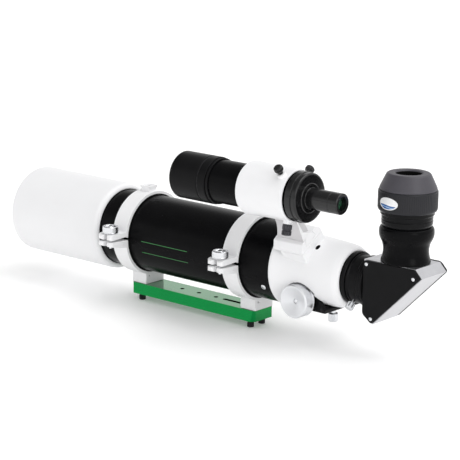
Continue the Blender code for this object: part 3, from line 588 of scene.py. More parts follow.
def build_tube():
    front = low_high("main_tube")[0].x
    rear = low_high("main_tube")[1].x
    turned("tube_shell", "main_tube", [(TUBE_R, rear), (TUBE_R, front), (48.4, front), (48.4, rear)],
           OPTICAL_AXIS, ALONG_X, "black_tube", LARGE, 0.3, lining="black_flat", lined_below=49.2)
    turned("objective_cell_ring", "objective_cell", [
        (49.9, front - GAP), (49.9, -190.0), (49.2, -190.6), (49.2, -192.4), (49.9, -193.0),
        (49.9, -213.0), (48.5, -214.5), (44.5, -214.5), (43.9, -213.9), (42.6, -213.9), (42.0, -214.5),
        (38.5, -214.5), (38.5, -211.5), (41.0, -211.5), (41.0, -188.0), (47.0, -184.0),
        (47.0, front - GAP),
    ], OPTICAL_AXIS, ALONG_X, "black_satin", LARGE, 0.35)
    for number in range(3):
        angle = math.radians(30.0 + 120.0 * number)
        screw_head("cell_screw_%d" % (number + 1), "objective_cell", around_axis(angle, 46.3, -214.5),
                   -ALONG_X, 1.5, 0.9)
    turned("crown_glass", "crown_lens", [
        (0.0, -199.0), (10.0, -199.15), (20.0, -199.6), (28.0, -200.2), (34.0, -200.8), (40.6, -201.9),
        (40.6, -205.0), (37.5, -206.2), (34.0, -207.4), (28.0, -208.7), (20.0, -209.7), (10.0, -210.4),
        (0.0, -210.6),
    ], OPTICAL_AXIS, ALONG_X, "coated_glass", LARGE, 0.0)
    turned("flint_glass", "flint_lens", [
        (0.0, -194.4), (20.0, -194.1), (40.6, -193.4), (40.6, -201.4), (34.0, -200.3), (28.0, -199.7),
        (20.0, -199.1), (10.0, -198.65), (0.0, -198.5),
    ], OPTICAL_AXIS, ALONG_X, "coated_glass", LARGE, 0.0)
    shield_front = low_high("dew_shield")[0].x
    shield_rear = low_high("dew_shield")[1].x
    turned("dew_shield_shell", "dew_shield", [
        (50.4, shield_rear), (52.2, shield_rear), (55.3, shield_rear - 1.6), (57.0, shield_rear - 4.6),
        (57.5, shield_rear - 8.5), (57.5, shield_front + 3.0), (56.9, shield_front + 1.0),
        (55.8, shield_front), (54.6, shield_front + 0.8), (54.3, shield_front + 2.5),
        (54.3, shield_rear - 11.0), (50.4, shield_rear - 6.0),
    ], OPTICAL_AXIS, ALONG_X, "white_enamel", LARGE, 1.6, lining="black_flat",
        lined=lambda radius, height: radius < 54.45 and height < shield_rear - 6.2)
    for name, angle_deg in (("pinstripe_upper", 89.1), ("pinstripe_lower", 106.2)):
        stripe_width = 0.75
        steps = 3
        outline = []
        for radius, order in ((TUBE_R + 0.09, 1), (TUBE_R - 0.15, -1)):
            reach = math.degrees(stripe_width / 2.0 / TUBE_R)
            outline += arc((0.0, 0.0), radius, angle_deg + order * reach, angle_deg - order * reach, steps)
        outline = [(-y, x) for x, y in outline]
        stripe = raw_prism(name, outline, -59.5, 19.2, OPTICAL_AXIS, END_VIEW)
        dressed(stripe, "main_tube", "pinstripe_green", 0.0, False)


# ---------------------------------------------------------------- clamp rings

def lower_ring_outline():
    middle = (0.0, AXIS_Z)
    foot_angle = math.degrees(math.acos(FOOT_HALF_WIDTH / RING_R))
    points = arc(middle, RING_BORE_R, 180.0, 360.0, 80)
    points[0] = (-RING_BORE_R, SPLIT_LOW_Z - SPLIT_FLARE)
    points[-1] = (RING_BORE_R, SPLIT_LOW_Z)
    points += [(56.2, SPLIT_LOW_Z)]
    points += arc((HINGE_Y, HINGE_Z), KNUCKLE_R, 180.0, 0.0, 16)
    points += [(65.3, 80.0), (58.0, 74.0)]
    points += arc(middle, RING_R, -9.0, -foot_angle, 24)
    points += [(FOOT_HALF_WIDTH, BAR_HIGH.z + GAP), (-FOOT_HALF_WIDTH, BAR_HIGH.z + GAP)]
    points += arc(middle, RING_R, 180.0 + foot_angle, 190.5, 24)
    points += [(-60.0, 71.3), (-75.0, 73.8)]
    lug_end = [(-75.0, 73.8), (LUG_END_Y, 75.6), (LUG_END_Y, SPLIT_LOW_Z), (-52.0, SPLIT_LOW_Z - SPLIT_FLARE)]
    points += filleted(lug_end, 1.6, False)[1:-1]
    return points


def upper_ring_outline():
    middle = (0.0, AXIS_Z)
    points = arc(middle, RING_BORE_R, 0.0, 180.0, 80)
    points[0] = (RING_BORE_R, SPLIT_HIGH_Z)
    points[-1] = (-RING_BORE_R, SPLIT_HIGH_Z + SPLIT_FLARE)
    lug_end = [
        (-52.0, SPLIT_HIGH_Z + SPLIT_FLARE), (LUG_END_Y, SPLIT_HIGH_Z), (LUG_END_Y, 89.4), (-78.0, 91.0),
    ]
    points += filleted(lug_end, 2.2, False)[1:-1]
    points += [(-78.0, 91.0)]
    points += arc(middle, RING_R, 169.5, 13.0, 72)
    points += [(58.5, 91.0), (64.6, 85.0)]
    points += arc((HINGE_Y, HINGE_Z), KNUCKLE_R, 0.0, -180.0, 16)
    points += [(56.3, SPLIT_HIGH_Z)]
    return points


def liner_outline(start_deg):
    middle = (0.0, AXIS_Z)
    outer = arc(middle, RING_BORE_R - 0.1, start_deg + 2.4, start_deg + 177.6, 72)
    inner = arc(middle, TUBE_R + 0.2, start_deg + 177.6, start_deg + 2.4, 72)
    return outer + inner


def prong_cutter(reach):
    """Top view of what is cut from a lug: an open slot for the screw, and a round end on each prong."""
    half = RING_HALF_WIDTH
    slot = 2.5
    prong_r = (half - slot) / 2.0
    prong_y = PRONG_TIP_Y + prong_r
    points = [(-half - 1.0, -100.0), (half + 1.0, -100.0), (half + 1.0, prong_y)]
    points += arc((half - prong_r, prong_y), prong_r, 0.0, -180.0, 14)
    points += arc((0.0, reach), slot, 0.0, 180.0, 12)
    points += arc((prong_r - half, prong_y), prong_r, 0.0, -180.0, 14)
    return points + [(-half - 1.0, prong_y)]


def build_ring(which):
    x = RING_X[which]
    spot = (x, 0.0, 0.0)
    half = RING_HALF_WIDTH
    lower_node = which + "_ring_lower"
    upper_node = which + "_ring_upper"

    lower = raw_prism(which + "_ring_base", lower_ring_outline(), -half, half, spot, END_VIEW)
    carve(lower, cut=[
        raw_block("knuckle_cut", (-4.4, 55.8, 60.0), (4.4, 72.0, 100.0), spot),
        raw_prism("slot_cut", prong_cutter(-68.0), 60.0, 95.0, spot),
        raw_rod("pin_cut", 2.0, -30.0, 30.0, (x, HINGE_Y, HINGE_Z), ALONG_X),
        raw_rod("foot_hole_cut", 1.3, half - 3.0, half + 3.0, (x, -11.0, 24.5), ALONG_X, SMALL),
        raw_rod("lug_dimple_cut", 1.1, half - 0.8, half + 3.0, (x, -61.5, 75.6), ALONG_X, SMALL),
    ])
    dressed(lower, lower_node, "cast_white", 0.7)

    upper = raw_prism(which + "_ring_cap", upper_ring_outline(), -half, half, spot, END_VIEW)
    neck = rounded([(-7.4, -7.4), (7.4, -7.4), (7.4, 7.4), (-7.4, 7.4)], 2.0)
    boss = rounded([(-8.5, -8.5), (8.5, -8.5), (8.5, 8.5), (-8.5, 8.5)], 2.4)
    dish = rounded([(-6.4, -6.4), (6.4, -6.4), (6.4, 6.4), (-6.4, 6.4)], 1.6)
    top = [raw_prism("neck", neck, 134.6, 141.0, spot), raw_prism("boss", boss, 140.6, 143.2, spot)]
    carve(upper, add=top, cut=[
        raw_block("front_cut", (-20.0, 55.8, 60.0), (-4.0, 72.0, 100.0), spot),
        raw_block("back_cut", (4.0, 55.8, 60.0), (20.0, 72.0, 100.0), spot),
        raw_prism("prong_cut", prong_cutter(-76.0), 60.0, 95.0, spot),
        raw_rod("clamp_cut", 2.3, 60.0, 110.0, (x, CLAMP_Y, 0.0)),
        raw_prism("dish_cut", dish, 142.5, 146.0, spot),
        raw_rod("boss_screw_cut", 2.6, 136.5, 150.0, spot),
        raw_rod("pin_cut", 2.0, -30.0, 30.0, (x, HINGE_Y, HINGE_Z), ALONG_X),
    ])
    dressed(upper, upper_node, "cast_white", 0.7)

    for node, start in ((which + "_liner_lower", 180.0), (which + "_liner_upper", 0.0)):
        liner = raw_prism(node + "_felt", liner_outline(start), -half + 0.2, half - 0.2, spot, END_VIEW)
        dressed(liner, node, "black_felt", 0.0)
    turned(which + "_pin", which + "_hinge_pin", [(0.0, half), (1.7, half), (1.7, -half), (0.0, -half)],
           (x, HINGE_Y, HINGE_Z), ALONG_X, "chrome", SMALL, 0.4)
    turned(which + "_clamp_knob", which + "_clamp_screw", [
        (0.0, 100.7), (2.6, 100.7), (3.4, 100.3), (3.7, 99.4), (4.2, 99.0), (8.2, 98.9), (8.8, 99.3),
        (9.1, 100.2), (9.6, 100.3), (10.1, 99.9), (10.2, 99.3, 0.5), (10.2, 98.8, 1.0), (10.2, 93.4, 1.0),
        (10.2, 93.0, 0.3), (10.4, 92.6), (10.4, 91.9), (10.0, 91.4), (2.6, 91.4), (1.8, 90.9), (1.8, 71.1),
        (1.4, 70.5), (0.0, 70.5),
    ], (x, CLAMP_Y, 0.0), ALONG_Z, "chrome", FINE, 0.2, teeth=48, depth=0.18)


# ---------------------------------------------------------------- dovetail bar

def bar_rim(half_width):
    half_length = BAR_HIGH.x
    corner = half_width - 16.0
    quarter = [(half_length, 16.0), (half_length - corner, half_width)]
    outline = quarter + [(-px, py) for px, py in reversed(quarter)]
    return outline + [(-px, -py) for px, py in quarter] + [(px, -py) for px, py in reversed(quarter)]


def build_bar():
    bar = raw_prism("bar_body", bar_rim(21.0), 0.0, BAR_HIGH.z, taper=bar_rim(18.6))
    slot = arc((68.0, 0.0), 3.2, -90.0, 90.0, 16) + arc((41.0, 0.0), 3.2, 90.0, 270.0, 16)
    cuts = [raw_prism("slot_cut", slot, -5.0, 30.0)]
    for x in BAR_HOLE_X:
        hole = [(0.0, 20.0), (3.2, 20.0), (3.2, BAR_HIGH.z), (2.3, BAR_HIGH.z - 0.9), (2.3, 5.0), (0.0, 5.0)]
        cuts.append(raw_turned("hole_cut", hole, (x, 0.0, 0.0), ALONG_Z, FINE))
    for ring_x in RING_X.values():
        for y in (-BOLT_Y, BOLT_Y):
            seat = [(0.0, 24.0), (3.2, 24.0), (3.2, 1.2), (5.0, 1.2), (5.0, -5.0), (0.0, -5.0)]
            cuts.append(raw_turned("bolt_cut", seat, (ring_x, y, 0.0), ALONG_Z, FINE))
    carve(bar, cut=cuts)
    dressed(bar, "dovetail_bar", "green_anodised", 0.7)

    for which, ring_x in RING_X.items():
        for side, y in (("near", -BOLT_Y), ("far", BOLT_Y)):
            node = "%s_bar_bolt_%s" % (which, side)
            bolt = put(node + "_screw", lathe_mesh(node, [
                (0.0, 22.0), (2.8, 22.0), (2.8, 0.9), (3.9, 0.9), (3.9, -3.4), (4.4, -3.8, 1.0),
                (4.4, -9.0, 1.0), (3.9, -9.5), (0.0, -9.5),
            ], FINE, 24, 0.25, 0.2), (ring_x, y, 0.0))
            socket = raw_turned("socket", [(0.0, -6.9), (2.4, -6.9), (2.4, -12.0), (0.0, -12.0)],
                                (ring_x, y, 0.0), ALONG_Z, 6)
            carve(bolt, cut=[socket])
            settle(bolt, "dark_steel", node, True)
            smooth(bolt, 30.0)


# ---------------------------------------------------------------- focuser

def carrier_outline(grow):
    return [
        (187.0 - grow, 37.0 - grow), (224.0 + grow, 37.0 - grow), (224.0 + grow, 41.0 + grow),
        (210.0 + grow, 56.7 + grow), (187.0 - grow, 56.7 + grow),
    ]


def build_focuser():
    body = raw_turned("focuser_housing", filleted([
        (FOCUSER_BORE_R, SNOUT_X - 1.2), (32.6, SNOUT_X), (34.6, SNOUT_X - 0.6), (37.0, SNOUT_X - 3.0),
        (38.6, SNOUT_X - 7.0), (39.4, SNOUT_X - 12.0), (42.3, 184.0), (43.4, 176.0), (46.0, 166.0),
        (49.6, 158.0), (51.5, 154.6), (51.5, 151.3), (48.1, 151.3), (48.1, 135.0), (44.5, 135.0),
        (44.5, 155.0), (FOCUSER_BORE_R, 168.0),
    ], 2.2, True, 5), OPTICAL_AXIS, ALONG_X, LARGE)
    pad_frame = axes(ALONG_X, sideways(FINDER_ANGLE))
    pad = rounded([(166.0, -22.0), (SHOE_X[1] + 0.5, -22.0), (SHOE_X[1] + 0.5, 22.0), (166.0, 22.0)], 2.0)
    cuts = [raw_rod("inner_cut", FOCUSER_BORE_R, 150.0, 300.0, OPTICAL_AXIS, ALONG_X, LARGE)]
    for sign in (-1.0, 1.0):
        cuts.append(raw_rod("recess_cut", KNOB_R + 1.8, 33.2, 80.0, (SHAFT_X, 0.0, SHAFT_Z),
                            sign * ALONG_Y, MEDIUM))
        cuts.append(raw_prism("cheek_cut", carrier_outline(GAP), -30.0, 30.0, (0.0, sign * 54.0, 0.0),
                              SIDE_VIEW))
    cuts.append(raw_block("floor_cut", (187.0 - GAP, -26.0, 20.0), (224.0 + GAP, 26.0, 45.0)))
    cuts.append(raw_rod("shaft_cut", 3.2, -60.0, 60.0, (SHAFT_X, 0.0, SHAFT_Z), ALONG_Y))
    for degrees in TUBE_SCREW_DEGREES:
        angle = math.radians(degrees)
        cuts.append(raw_rod("screw_cut", 2.2, 40.0, 60.0, around_axis(angle, 0.0, TUBE_SCREW_X),
                            outward(angle), SMALL))
    oval = [(204.9 + 2.6 * math.cos(t), 4.0 * math.sin(t)) for t in [math.pi * i / 16 for i in range(32)]]
    oval_frame = axes(ALONG_X, sideways(math.radians(33.5)))
    carve(body, add=[raw_prism("pad", pad, 34.0, SHOE_BASE - GAP, OPTICAL_AXIS, pad_frame)],
          cut=cuts + [raw_prism("oval_cut", oval, 33.5, 50.0, OPTICAL_AXIS, oval_frame)])
    dressed(body, "focuser_body", "white_enamel", 0.35, lining="black_flat")
    for face in body.data.polygons:
        spot = face.center / MM
        radius = math.hypot(spot.x, spot.y)
        in_oval = abs(spot.z - 204.9) < 2.9 and 33.0 < radius < 40.6
        if radius < 31.2 or (radius < 44.8 and spot.z < 166.0 and abs(face.normal.z) < 0.9) or in_oval:
            face.material_index = 1

    plug = [
        (0.0, 46.9), (2.6, 46.9), (3.0, 47.5), (4.8, 47.5), (5.6, 46.9), (5.9, 45.8), (6.2, 40.0),
        (0.0, 40.0),
    ]
    turned("focuser_plug", "focuser_body", plug, around_axis(math.radians(-17.0), 0.0, 171.0),
           outward(math.radians(-17.0)), "white_enamel", FINE, 0.3, stands_for=False)

    for number, degrees in enumerate(TUBE_SCREW_DEGREES):
        angle = math.radians(degrees)
        node = "tube_screw_%d" % (number + 1)
        spot = around_axis(angle, 0.0, TUBE_SCREW_X)
        way = outward(angle)
        screw = put(node + "_head", lathe_mesh(node, [
            (0.0, 52.2), (1.4, 52.05), (2.6, 51.6), (3.5, 50.9), (3.6, 50.5), (3.6, 50.1), (1.8, 50.0),
            (1.8, 45.5), (0.0, 45.5),
        ], FINE, 0, 0.0, 0.2), spot, facing(way))
        carve(screw, cut=[
            raw_block("slot_a", (-1.9, -0.4, 51.0), (1.9, 0.4, 54.0), spot, facing(way)),
            raw_block("slot_b", (-0.4, -1.9, 51.0), (0.4, 1.9, 54.0), spot, facing(way)),
        ])
        settle(screw, "chrome", node, True)
        smooth(screw, 30.0)

    carrier = raw_prism("carrier_block", carrier_outline(0.0), -30.5, 30.5, (0.0, 0.0, 0.0), SIDE_VIEW)
    carve(carrier, cut=[
        raw_block("channel_cut", (180.0, -24.3, 44.7), (230.0, 24.3, 70.0)),
        raw_rod("bearing_cut", 3.1, -60.0, 60.0, (SHAFT_X, 0.0, SHAFT_Z), ALONG_Y),
        raw_rod("tension_cut", 2.3, 30.0, 50.0, (TENSION_SCREW_X, 0.0, 0.0)),
    ])
    dressed(carrier, "shaft_carrier", "black_satin", 0.7)
    for sign, side in ((-1.0, "near"), (1.0, "far")):
        for number, (x, z) in enumerate(((205.0, 50.5), (205.0, 41.0), (219.0, 41.0))):
            screw_head("carrier_screw_%s_%d" % (side, number + 1), "shaft_carrier", (x, sign * 30.5, z),
                       sign * ALONG_Y, 1.7, 0.9, "dark_steel", 6)
    turned("tension_knob", "tension_screw", [
        (0.0, 44.4), (1.9, 44.4), (1.9, 35.6), (3.1, 35.6), (3.1, 30.6), (5.4, 30.6), (6.1, 29.8, 0.4),
        (6.1, 29.2, 1.0), (6.1, 22.0, 1.0), (5.9, 21.0, 0.3), (5.3, 20.0), (0.0, 20.0),
    ], (TENSION_SCREW_X, 0.0, 0.0), ALONG_Z, "chrome", FINE, 0.25, teeth=24, depth=0.5)

    shaft_spot = (SHAFT_X, 0.0, SHAFT_Z)
    turned("shaft_rod", "focus_shaft", [(0.0, 61.6), (2.7, 61.6), (2.7, -45.4), (0.0, -45.4)], shaft_spot,
           ALONG_Y, "chrome", SMALL, 0.4)
    turned("coarse_knob_near", "focus_knob_near", [
        (3.0, -34.0), (KNOB_R - 0.8, -34.0), (KNOB_R, -34.8), (KNOB_R, -36.4), (KNOB_R - 0.5, -36.8),
        (KNOB_R - 0.5, -37.6), (KNOB_R, -38.0), (KNOB_R, -49.9), (KNOB_R - 1.1, -51.0),
        (KNOB_R - 2.4, -51.0), (3.6, -45.9), (3.0, -45.9),
    ], shaft_spot, ALONG_Y, "brushed_aluminium", MEDIUM, 0.3)
    turned("coarse_knob_far", "focus_knob_far", [
        (3.0, 48.0), (12.5, 48.0), (KNOB_R - 1.0, 47.2), (KNOB_R, 46.2), (KNOB_R, 38.0),
        (KNOB_R - 0.5, 37.6), (KNOB_R - 0.5, 36.8), (KNOB_R, 36.4), (KNOB_R, 34.8), (KNOB_R - 0.8, 34.0),
        (3.0, 34.0),
    ], shaft_spot, ALONG_Y, "brushed_aluminium", MEDIUM, 0.3)
    turned("fine_knob", "fine_focus_knob", [
        (3.0, 61.0), (8.9, 61.0), (9.6, 60.8), (10.4, 60.0, 0.5), (10.4, 59.4, 1.0), (10.4, 50.0, 1.0),
        (10.4, 49.2, 0.5), (9.6, 48.4), (3.0, 48.4),
    ], shaft_spot, ALONG_Y, "dark_steel", FINE, 0.25, teeth=44, depth=0.4)


def build_drawtube():
    turned("drawtube_barrel", "drawtube", [
        (26.2, 251.6), (31.6, 251.6), (32.6, 250.6), (32.6, 247.2), (31.8, SNOUT_X + 0.8),
        (28.0, SNOUT_X + 0.8), (28.0, 120.0), (26.2, 120.0),
    ], OPTICAL_AXIS, ALONG_X, "black_satin", MEDIUM, 0.35, lining="black_flat", lined_below=26.9)
    turned("adapter_ring", "drawtube_adapter", [
        (26.0, 275.0), (29.8, 275.0), (30.8, 274.0), (30.8, 272.4), (30.4, 272.0), (30.4, 271.4),
        (30.8, 271.0), (30.8, 267.0), (29.4, 265.6), (29.4, 255.2), (30.8, 254.0), (30.8, 252.8),
        (30.2, 252.2), (26.0, 252.2),
    ], OPTICAL_AXIS, ALONG_X, "black_satin", MEDIUM, 0.3)
    for node, degrees in (("adapter_screw_near", 132.0), ("adapter_screw_far", -108.0)):
        angle = math.radians(degrees)
        turned(node + "_knob", node, [
            (0.0, 44.0), (3.6, 44.0), (4.3, 43.9), (5.0, 43.2, 0.5), (5.0, 42.6, 1.0), (5.0, 36.8, 1.0),
            (5.0, 36.2, 0.5), (4.3, 35.4), (2.6, 35.4), (2.6, 30.9), (1.7, 30.7), (1.7, 26.6), (0.0, 26.6),
        ], around_axis(angle, 0.0, ADAPTER_SCREW_X), outward(angle), "chrome", FINE, 0.2, teeth=24, depth=0.4)


# ---------------------------------------------------------------- mirror diagonal

def diagonal_outline(inset):
    """Side view of the diagonal: square corner cut away at 45 degrees behind the mirror."""
    return [
        (DIAGONAL_X + inset, 48.0), (290.5, 36.5 + inset), (358.0 - inset, 104.0),
        (348.5, DIAGONAL_TOP_Z - inset), (DIAGONAL_X + inset, DIAGONAL_TOP_Z - inset),
    ]


def build_diagonal():
    half = DIAGONAL_HALF_WIDTH
    body = raw_prism("diagonal_shell", diagonal_outline(0.0), -half, half, (0.0, 0.0, 0.0), SIDE_VIEW)
    mirror_frame = axes(Vector((1.0, 0.0, 1.0)).normalized(), (0.0, -1.0, 0.0))
    mirror_spot = (EYE_X, 0.0, AXIS_Z)
    light_in = raw_rod("inlet_cut", 22.5, 260.0, EYE_X, OPTICAL_AXIS, ALONG_X, MEDIUM)
    light_out = raw_rod("outlet_cut", 23.1, AXIS_Z, 130.0, EYE_AXIS, ALONG_Z, MEDIUM)
    slot = raw_block("slot_cut", (-36.5, -40.0, 0.0), (36.5, 40.0, 9.2), mirror_spot, mirror_frame)
    for light in (light_in, light_out):
        carve(light, cut=[raw_block("behind_cut", (-60.0, -60.0, 4.0), (60.0, 60.0, 60.0), mirror_spot,
                                    mirror_frame)])
    carve(body, cut=[light_in, light_out, slot])
    dressed(body, "diagonal_body", "brushed_plate", 0.55)
    for side, sign, inset in (("near", -1.0, 0.6), ("far", 1.0, -0.5)):
        face = sign * (half + GAP + PLATE_THICKNESS)
        inner = sign * (half + 0.02)
        low, high = sorted((-face, -inner))
        plate = raw_prism("side_plate_" + side, rounded(diagonal_outline(inset), 3.6, 8), low, high,
                          (0.0, 0.0, 0.0), SIDE_VIEW)
        dressed(plate, "diagonal_plate_" + side, "black_satin", 0.45)
        for number, (x, z) in enumerate(((280.8, 108.8), (347.6, 102.6), (289.4, 43.6))):
            screw_head("plate_screw_%s_%d" % (side, number + 1), "diagonal_plate_" + side, (x, face, z),
                       sign * ALONG_Y, 2.3, 1.0, "chrome", 6)
    turned("nose_barrel", "diagonal_nose", [
        (22.6, DIAGONAL_X - GAP), (25.7, DIAGONAL_X - GAP), (NOSE_R, 274.8), (NOSE_R, 254.5),
        (24.6, 253.4), (22.6, 253.4),
    ], OPTICAL_AXIS, ALONG_X, "chrome", MEDIUM, 0.3)
    turned("holder_collar", "eyepiece_holder", [
        (25.9, HOLDER_TOP_Z), (29.2, HOLDER_TOP_Z), (30.4, 156.6), (31.2, 155.8), (32.0, 154.4),
        (32.4, 152.6), (32.6, 150.3), (32.5, 148.0), (32.1, 145.6), (31.4, 143.4), (30.4, 141.2),
        (29.2, 139.0), (28.2, 136.6), (27.6, 134.0), (27.1, 131.2), (27.0, 128.6), (27.1, 125.6),
        (27.5, 122.6), (28.2, 120.0), (29.0, 117.6), (29.4, 115.6), (29.4, DIAGONAL_TOP_Z + 0.02),
        (25.9, DIAGONAL_TOP_Z + 0.02),
    ], EYE_AXIS, ALONG_Z, "black_tube", MEDIUM, 0.8)


def build_eyepiece():
    turned("eyepiece_barrel", "eyepiece_body", [
        (20.0, 200.4), (33.9, 200.4), (34.6, 200.0), (35.0, 199.2), (35.1, 198.4, 1.0), (35.1, 179.4, 1.0),
        (35.0, 178.6), (34.6, 177.2), (33.9, 176.2), (32.2, 175.4), (31.9, 174.4), (31.9, 172.0),
        (31.6, 171.4), (30.6, 170.9), (30.4, 170.2), (30.4, 166.6), (29.8, 166.2), (29.8, 165.2),
        (30.4, 164.8), (30.4, 160.8), (29.9, 159.6), (29.2, 158.0), (28.9, HOLDER_TOP_Z + 0.02),
        (NOSE_R, HOLDER_TOP_Z + 0.02), (NOSE_R, 124.5), (24.6, 123.5), (22.4, 123.5), (22.4, 150.0),
        (20.0, 152.0),
    ], EYE_AXIS, ALONG_Z, "dark_grey", MEDIUM, 0.35, teeth=84, depth=0.35, lining="black_gloss",
        lined=lambda radius, height: height < 175.5)
    turned("eyecup_rubber", "eyepiece_cup", [
        (15.4, 218.4), (17.0, 220.0), (24.4, 220.0), (26.2, 218.6), (33.4, 203.4), (33.8, 202.2),
        (33.8, 200.42), (16.5, 200.42), (16.5, 208.6), (15.4, 210.2),
    ], EYE_AXIS, ALONG_Z, "soft_rubber", MEDIUM, 0.9, lining="black_flat",
        lined=lambda radius, height: radius < 16.8 and height < 218.2)
    turned("eye_glass", "eyepiece_eye_lens", [
        (0.0, 208.2), (5.0, 208.0), (9.0, 207.6), (13.0, 207.0), (16.1, 206.2), (16.1, 202.4),
        (9.0, 201.8), (0.0, 201.6),
    ], EYE_AXIS, ALONG_Z, "coated_glass", MEDIUM, 0.0)
    build_badge()


def build_badge():
    """Thin oval plate wrapped on the grip band, drawn flat in X and Y and then bent."""
    half_length = 13.8
    half_height = 7.2
    band_r = 35.1
    badge_z = 187.6
    turn = math.radians(-7.0)
    rings = 10
    segments = 72
    shape = bmesh.new()

    def point(share, angle, lift):
        return shape.verts.new((half_length * share * math.cos(angle) * MM,
                                half_height * share * math.sin(angle) * MM, lift * MM))

    layers = [(share / rings, 0.45) for share in range(1, rings)] + [(0.985, 0.45), (1.0, 0.36), (1.0, -0.35)]
    middle = point(0.0, 0.0, 0.45)
    steps = [2.0 * math.pi * i / segments for i in range(segments)]
    loops = [[point(share, step, lift) for step in steps] for share, lift in layers]
    bottom = point(0.0, 0.0, -0.35)
    for i in range(segments):
        j = (i + 1) % segments
        shape.faces.new((middle, loops[0][i], loops[0][j]))
        shape.faces.new((bottom, loops[-1][j], loops[-1][i]))
        for inner, outer in zip(loops, loops[1:]):
            shape.faces.new((inner[i], outer[i], outer[j], inner[j]))
    for vert in shape.verts:
        bend = vert.co.x / (band_r * MM)
        radius = band_r * MM + vert.co.z
        vert.co.z = radius * math.cos(bend) - band_r * MM
        vert.co.x = radius * math.sin(bend)
    bmesh.ops.recalc_face_normals(shape, faces=shape.faces)
    mesh = bpy.data.meshes.new("eyepiece_badge")
    shape.to_mesh(mesh)
    shape.free()
    way = Vector((math.sin(turn), -math.cos(turn), 0.0))
    spot = EYE_AXIS + way * band_r + Vector((0.0, 0.0, badge_z))
    badge = put("eyepiece_badge", mesh, spot, axes(ALONG_Z.cross(way), ALONG_Z))
    settle(badge, "badge_enamel", "eyepiece_body", False)
    smooth(badge, 50.0)


# ---------------------------------------------------------------- finder

